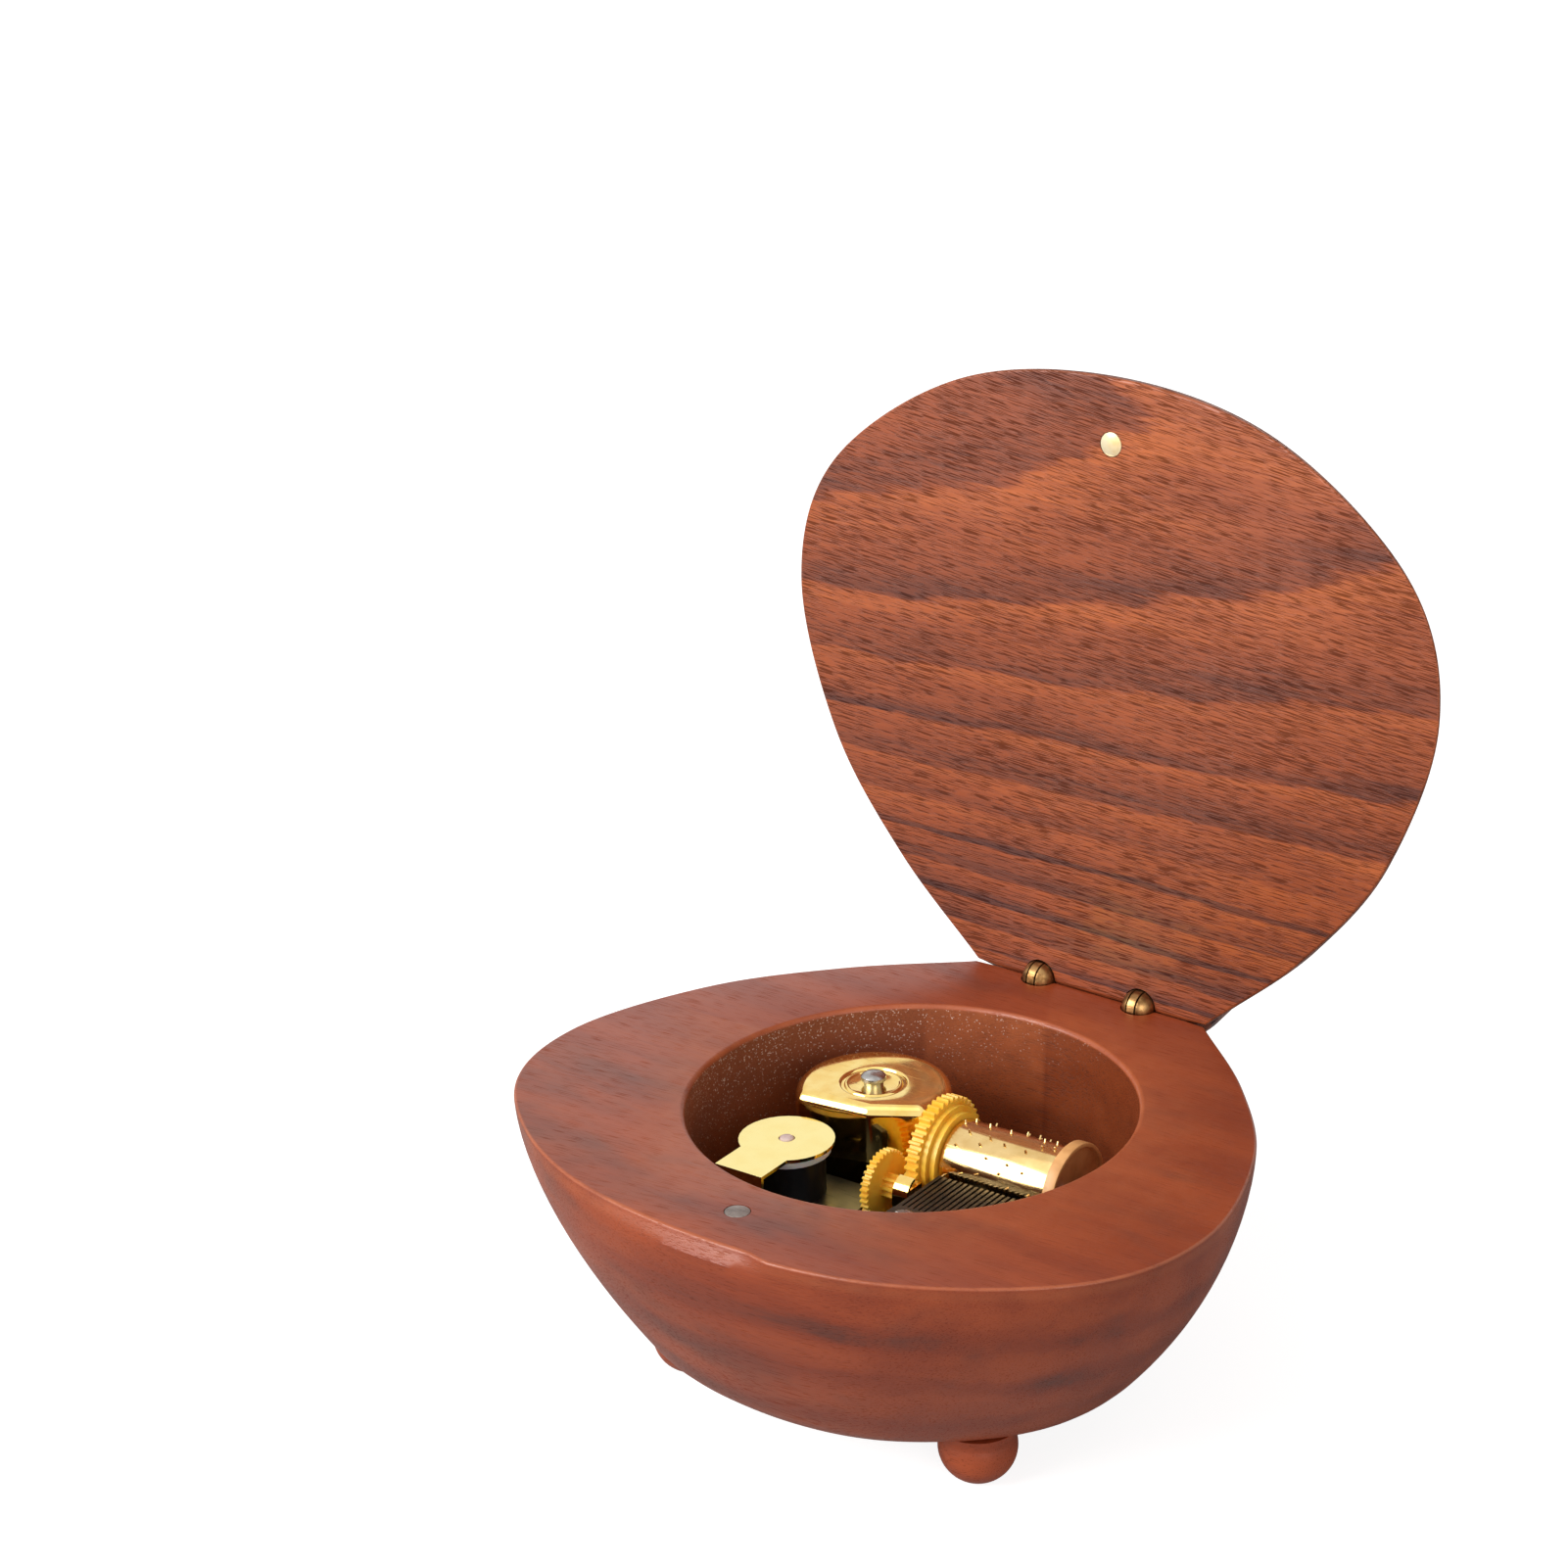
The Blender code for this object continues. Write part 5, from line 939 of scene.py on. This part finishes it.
for side, sign in (("left", -1), ("right", 1)):
    place = Matrix.Translation((sign * HINGE_X, HINGE.y, HINGE.z))
    fork = turned(f"hinge_ball_{side}", ball_profile, 48)
    bpy.ops.mesh.primitive_cube_add(size=1.0, location=(0, 0, 0))
    slot_cutter = bpy.context.object
    slot_cutter.data.transform(Matrix.Diagonal((2 * SLOT_HALF, SLOT_LENGTH, 2 * SLOT_DEPTH, 1.0)))
    cut(fork, slot_cutter)
    set_down(break_edges(fork, FORK_EDGE, EASED), place)
    fitted(fork, f"hinge_barrel_base_{side}", "base", aged_brass)
    refined(f"hinge_tongue_{side}", f"hinge_barrel_lid_{side}", "lid_body", aged_brass, 0.08 * MM)
    refined(f"hinge_axle_{side}", f"hinge_pin_{side}", "base", dark_steel, 0.06 * MM)

# Catch magnets
# Two small disc magnets glued flush into the wood, which hold the lid shut. The one in the base is
# nickel plated, the one in the lid gilt.
nickel = hard_material(
    "nickel_plate", srgb(160, 148, 140), srgb(122, 112, 106), 0.45, 0.8, scratches=0.4, tooth=0.5,
)
gilt_disc = hard_material(
    "gilt_disc", srgb(250, 234, 196), srgb(226, 196, 140), 0.36, 0.7, scratches=0.4, tooth=0.5,
)
magnet_profile = (
    (MAGNET_RADIUS - 0.12 * MM, MAGNET_LENGTH),
    (MAGNET_RADIUS - 0.03 * MM, MAGNET_LENGTH - 0.04 * MM),
    (MAGNET_RADIUS, MAGNET_LENGTH - 0.12 * MM),
    (MAGNET_RADIUS, 0.12 * MM),
    (MAGNET_RADIUS - 0.12 * MM, 0.0),
)
base_disc = smoothed(turned("catch_magnet_base", magnet_profile, 48))
set_down(base_disc, Matrix.Translation((0, HINGE.y - MAGNET_BACK, RIM_Z - MAGNET_LENGTH)))
fitted(base_disc, "base_magnet", "base", nickel)
lid_disc = smoothed(turned("catch_magnet_lid", magnet_profile, 48))
flip = Matrix.Translation((0, -MAGNET_BACK, LID_FACE + MAGNET_LENGTH)) @ Matrix.Rotation(math.pi, 4, "X")
set_down(lid_disc, lid_place @ flip)
fitted(lid_disc, "lid_magnet", "lid_body", gilt_disc)

# Bedplate and its screws
# A flat cast plate, black from its bath, with a rest for the comb and an upright ear that carries the
# cylinder's far end. Three screws from under the bowl hold it down.
black_iron = hard_material("blackened_iron", srgb(34, 31, 30), srgb(22, 20, 20), 0.5, 0.2, tooth=0.5)
refined("movement_bedplate", "bedplate", "base", black_iron, 0.2 * MM)
for index in (1, 2, 3):
    refined(f"holding_screw_{index}", f"mount_screw_{index}", "base", bright_steel, 0.1 * MM)

# Mainspring and its housing
# A cap drawn from brass and gilded to a mirror, flat on the side of the train. In it lie the steel
# mainspring and the crown wheel that the spring turns, and the arbor's domed head stands out on top.
HOUSING_RADIUS = 12.8 * MM
HOUSING_FLATS = ((8.8 * MM, math.radians(-83.3)), (9.4 * MM, math.radians(-60.0)))
HOUSING_TOP = 21.7 * MM
HOUSING_EDGE = 2.0 * MM
HOUSING_FOOT = 2.5 * MM
HOUSING_STEPS = 10
BOSS_LIMIT = 5.8 * MM
ARBOR_RADIUS = 1.6 * MM
CRISP = 28.0
gilt = hard_material(
    "mirror_gilt", srgb(252, 222, 140), srgb(246, 206, 116), 0.07, 1.0,
    spread=0.03, scratches=0.03, tooth=0.0,
)
low = HOUSING_TOP - 0.4 * MM
housing_profile = [
    (1.9 * MM, low), (4.0 * MM, low), (4.15 * MM, low + 0.06 * MM), (4.3 * MM, HOUSING_TOP - 0.14 * MM),
    (4.4 * MM, HOUSING_TOP - 0.1 * MM), (4.6 * MM, HOUSING_TOP - 0.1 * MM),
    (4.7 * MM, HOUSING_TOP - 0.16 * MM), (4.85 * MM, low), (5.3 * MM, low),
    (5.45 * MM, HOUSING_TOP - 0.12 * MM), (5.6 * MM, HOUSING_TOP - 0.02 * MM), (5.75 * MM, HOUSING_TOP),
    (HOUSING_RADIUS - HOUSING_EDGE - 0.5 * MM, HOUSING_TOP),
    (HOUSING_RADIUS - HOUSING_EDGE, HOUSING_TOP - 0.01 * MM),
]
for step in range(1, HOUSING_STEPS + 1):
    angle = step / HOUSING_STEPS * math.pi / 2
    housing_profile.append((
        HOUSING_RADIUS - HOUSING_EDGE * (1 - math.sin(angle)),
        HOUSING_TOP - 0.01 * MM - HOUSING_EDGE * (1 - math.cos(angle)),
    ))
housing_profile += [(HOUSING_RADIUS, 12.0 * MM), (HOUSING_RADIUS, HOUSING_FOOT)]
housing = turned("spring_cap", housing_profile, 192)
for vert in housing.data.vertices:
    if vert.co.xy.length > BOSS_LIMIT:
        from_wall = HOUSING_RADIUS - vert.co.xy.length
        for flat, flat_angle in HOUSING_FLATS:
            press = Vector((math.cos(flat_angle), math.sin(flat_angle)))
            past = max(vert.co.xy.dot(press) - (flat - from_wall), 0.0)
            vert.co.xy -= press * past
set_down(smoothed(housing, EASED), movement_matrix())
fitted(housing, "spring_housing", "base", gilt)
arbor_profile = (
    (0.35 * MM, HOUSING_TOP + 1.8 * MM), (1.2 * MM, HOUSING_TOP + 1.72 * MM),
    (1.75 * MM, HOUSING_TOP + 1.5 * MM), (2.05 * MM, HOUSING_TOP + 1.2 * MM),
    (2.1 * MM, HOUSING_TOP + 1.0 * MM), (2.1 * MM, HOUSING_TOP + 0.6 * MM),
    (1.95 * MM, HOUSING_TOP + 0.45 * MM), (ARBOR_RADIUS, HOUSING_TOP + 0.35 * MM),
    (ARBOR_RADIUS, -2.0 * MM), (ARBOR_RADIUS, -5.8 * MM),
)
arbor = set_down(smoothed(turned("arbor_head", arbor_profile, 48), CRISP), movement_matrix())
fitted(arbor, "winding_arbor", "winder", bright_steel)
spring_steel = hard_material("spring_steel", srgb(120, 116, 122), srgb(84, 84, 98), 0.28, 1.0)
refined("wound_mainspring", "mainspring", "base", spring_steel, 0.04 * MM)

# Pinned cylinder
# A gilt brass tube set with pins that pluck the comb. A yellow moulded wheel with two raised rings
# drives it from the left, and a tan moulded cap closes its right end.
CYLINDER_Y = -3.5 * MM
CYLINDER_Z = 14.7 * MM
CYLINDER_RADIUS = 6.5 * MM
CYLINDER_START = 19.2 * MM
CYLINDER_END = 39.0 * MM
NOTE_COUNT = 18
NOTE_PITCH = 1.0 * MM
FIRST_NOTE = 20.2 * MM
PINS_PER_NOTE = 4
NOTE_SPREAD = 0.618
BEAT_SHIFT = 0.03
PIN_TOP = CYLINDER_RADIUS + 0.6 * MM
tube_profile = (
    (CYLINDER_RADIUS - 0.25 * MM, CYLINDER_END),
    (CYLINDER_RADIUS - 0.06 * MM, CYLINDER_END - 0.05 * MM),
    (CYLINDER_RADIUS, CYLINDER_END - 0.25 * MM),
    (CYLINDER_RADIUS, CYLINDER_START + 0.25 * MM),
    (CYLINDER_RADIUS - 0.06 * MM, CYLINDER_START + 0.05 * MM),
    (CYLINDER_RADIUS - 0.25 * MM, CYLINDER_START),
)
tube = smoothed(turned("note_cylinder", tube_profile, 128))
pin_profile = (
    (0.10 * MM, PIN_TOP), (0.17 * MM, PIN_TOP - 0.1 * MM), (0.18 * MM, CYLINDER_RADIUS + 0.12 * MM),
    (0.32 * MM, CYLINDER_RADIUS - 0.1 * MM),
)
pins = []
for index in range(NOTE_COUNT * PINS_PER_NOTE):
    note, beat = divmod(index, PINS_PER_NOTE)
    uneven = BEAT_SHIFT * ((note * beat) % 5)
    angle = 2 * math.pi * (NOTE_SPREAD * note + beat / PINS_PER_NOTE + uneven)
    note_pin = turned(f"note_pin_{index}", pin_profile, 8)
    around = Matrix.Rotation(angle, 4, "Z") @ Matrix.Rotation(math.pi / 2, 4, "Y")
    set_down(note_pin, Matrix.Translation((0, 0, FIRST_NOTE + note * NOTE_PITCH)) @ around)
    pins.append(smoothed(note_pin, EASED))
bpy.ops.object.select_all(action="DESELECT")
for note_pin in pins:
    note_pin.select_set(True)
tube.select_set(True)
bpy.context.view_layer.objects.active = tube
bpy.ops.object.join()
set_down(tube, movement_matrix(0, CYLINDER_Y, CYLINDER_Z, across=True))
cylinder_gilt = hard_material(
    "cylinder_gilt", srgb(240, 206, 142), srgb(226, 188, 122), 0.12, 1.0,
    spread=0.04, scratches=0.05, tooth=0.0,
)
fitted(tube, "pinned_cylinder", "cylinder", cylinder_gilt)
yellow = hard_material(
    "yellow_moulding", srgb(255, 204, 72), srgb(255, 188, 52), 0.34, spread=0.1, tooth=0.3,
)
shader = yellow.node_tree.nodes["Principled BSDF"]
plug(0.25, shader.inputs["Subsurface Weight"])
plug((1.0, 0.5, 0.15), shader.inputs["Subsurface Radius"])
plug(0.8 * MM, shader.inputs["Subsurface Scale"])
refined("great_wheel", "cylinder_gear", "cylinder", yellow, 0.07 * MM)
tan = hard_material("tan_moulding", srgb(238, 178, 112), srgb(214, 152, 90), 0.36, spread=0.1, tooth=0.3)
cap_start = CYLINDER_END + 0.3 * MM
cap_end = cap_start + 2.0 * MM
cap_profile = (
    (6.9 * MM, cap_end - 1.0 * MM), (7.2 * MM, cap_end - 0.9 * MM), (7.35 * MM, cap_end - 0.15 * MM),
    (7.5 * MM, cap_end), (7.85 * MM, cap_end), (8.0 * MM, cap_end - 0.06 * MM),
    (8.1 * MM, cap_end - 0.25 * MM), (8.1 * MM, cap_start + 0.15 * MM), (7.95 * MM, cap_start),
)
cap = smoothed(turned("tan_end_cap", cap_profile, 96), CRISP)
set_down(cap, movement_matrix(0, CYLINDER_Y, CYLINDER_Z, across=True))
fitted(cap, "cylinder_end_cap", "cylinder", tan)

# Gear train
# The great wheel drives a small moulded pinion and wheel, which drive a second pinion, and the wheel at
# that arbor's far end turns the governor's worm. The shafts are ground steel and run in plain holes. A
# bent gilt guard covers the second pinion.
for name, node, body, material, edge in (
    ("second_gear", "second_wheel", "second_arbor", yellow, 0.05 * MM),
    ("crown_wheel", "spring_gear", "spring_wheel", yellow, 0.05 * MM),
    ("worm_gear", "worm_wheel", "third_arbor", yellow, 0.04 * MM),
    ("crown_drive", "crown_pinion", "cylinder", aged_brass, 0.04 * MM),
    ("steel_pinion", "third_pinion", "third_arbor", bright_steel, 0.03 * MM),
):
    refined(name, node, body, material, edge)
for shaft, body in (("cylinder", "cylinder"), ("second", "second_arbor"), ("third", "third_arbor")):
    refined(f"ground_{shaft}_shaft", f"{shaft}_shaft", body, bright_steel, 0.1 * MM, segments=3)
refined("gilt_guard", "pinion_guard", "base", gilt, 0.12 * MM, segments=3)

# Comb
# Eighteen teeth sawn in one hardened steel plate on a thick root, tempered to a dark brown-grey and
# screwed to the bedplate's rest.
refined("note_comb", "comb", "base", dark_steel, 0.05 * MM)
for index in (1, 2):
    refined(f"root_screw_{index}", f"comb_screw_{index}", "base", bright_steel, 0.1 * MM)

# Governor
# A glossy black moulded body with a tower. Its steel worm spins a milky disc in the air under a gilt
# bracket, whose pale cap takes the worm's top pivot.
GOVERNOR_AXIS = (-3.5 * MM, -19.7 * MM)
PIVOT_RADIUS = 1.2 * MM
black_plastic = hard_material(
    "black_moulding", srgb(20, 19, 21), srgb(12, 12, 14), 0.32, spread=0.08, tooth=0.1,
)
pale_gilt = hard_material(
    "pale_gilt", srgb(255, 236, 160), srgb(254, 232, 152), 0.08, 1.0,
    spread=0.02, scratches=0.0, tooth=0.0,
)
milky = hard_material("milky_moulding", srgb(238, 234, 230), srgb(222, 216, 212), 0.34, spread=0.1)
shader = milky.node_tree.nodes["Principled BSDF"]
plug(0.4, shader.inputs["Subsurface Weight"])
plug(1.0 * MM, shader.inputs["Subsurface Scale"])
blush = hard_material("blush_moulding", srgb(232, 208, 200), srgb(214, 184, 176), 0.3, spread=0.1)
refined("governor_body", "governor_block", "base", black_plastic, 0.18 * MM, segments=3)
refined("governor_screw", "governor_worm", "governor", bright_steel, 0.03 * MM)
refined("air_disc", "governor_rotor", "governor", milky, 0.15 * MM, segments=3)
refined("gilt_bracket", "governor_bracket", "base", pale_gilt, 0.14 * MM, segments=3)
refined("bracket_holding_screw", "bracket_screw", "base", bright_steel, 0.1 * MM)
pivot_profile = (
    (0.5 * MM, 19.35 * MM), (0.9 * MM, 19.28 * MM), (1.1 * MM, 19.15 * MM), (PIVOT_RADIUS, 18.95 * MM),
    (PIVOT_RADIUS, 18.45 * MM),
)
pivot = smoothed(turned("top_pivot", pivot_profile, 40))
set_down(pivot, movement_matrix(*GOVERNOR_AXIS))
fitted(pivot, "pivot_cap", "base", blush)

# Winding key
# A cast brass butterfly key on the arbor's lower end. It turns in a round recess under the bowl.
refined("butterfly_key", "winding_key", "winder", aged_brass, 0.5 * MM, segments=4)

bpy.ops.object.select_all(action="DESELECT")
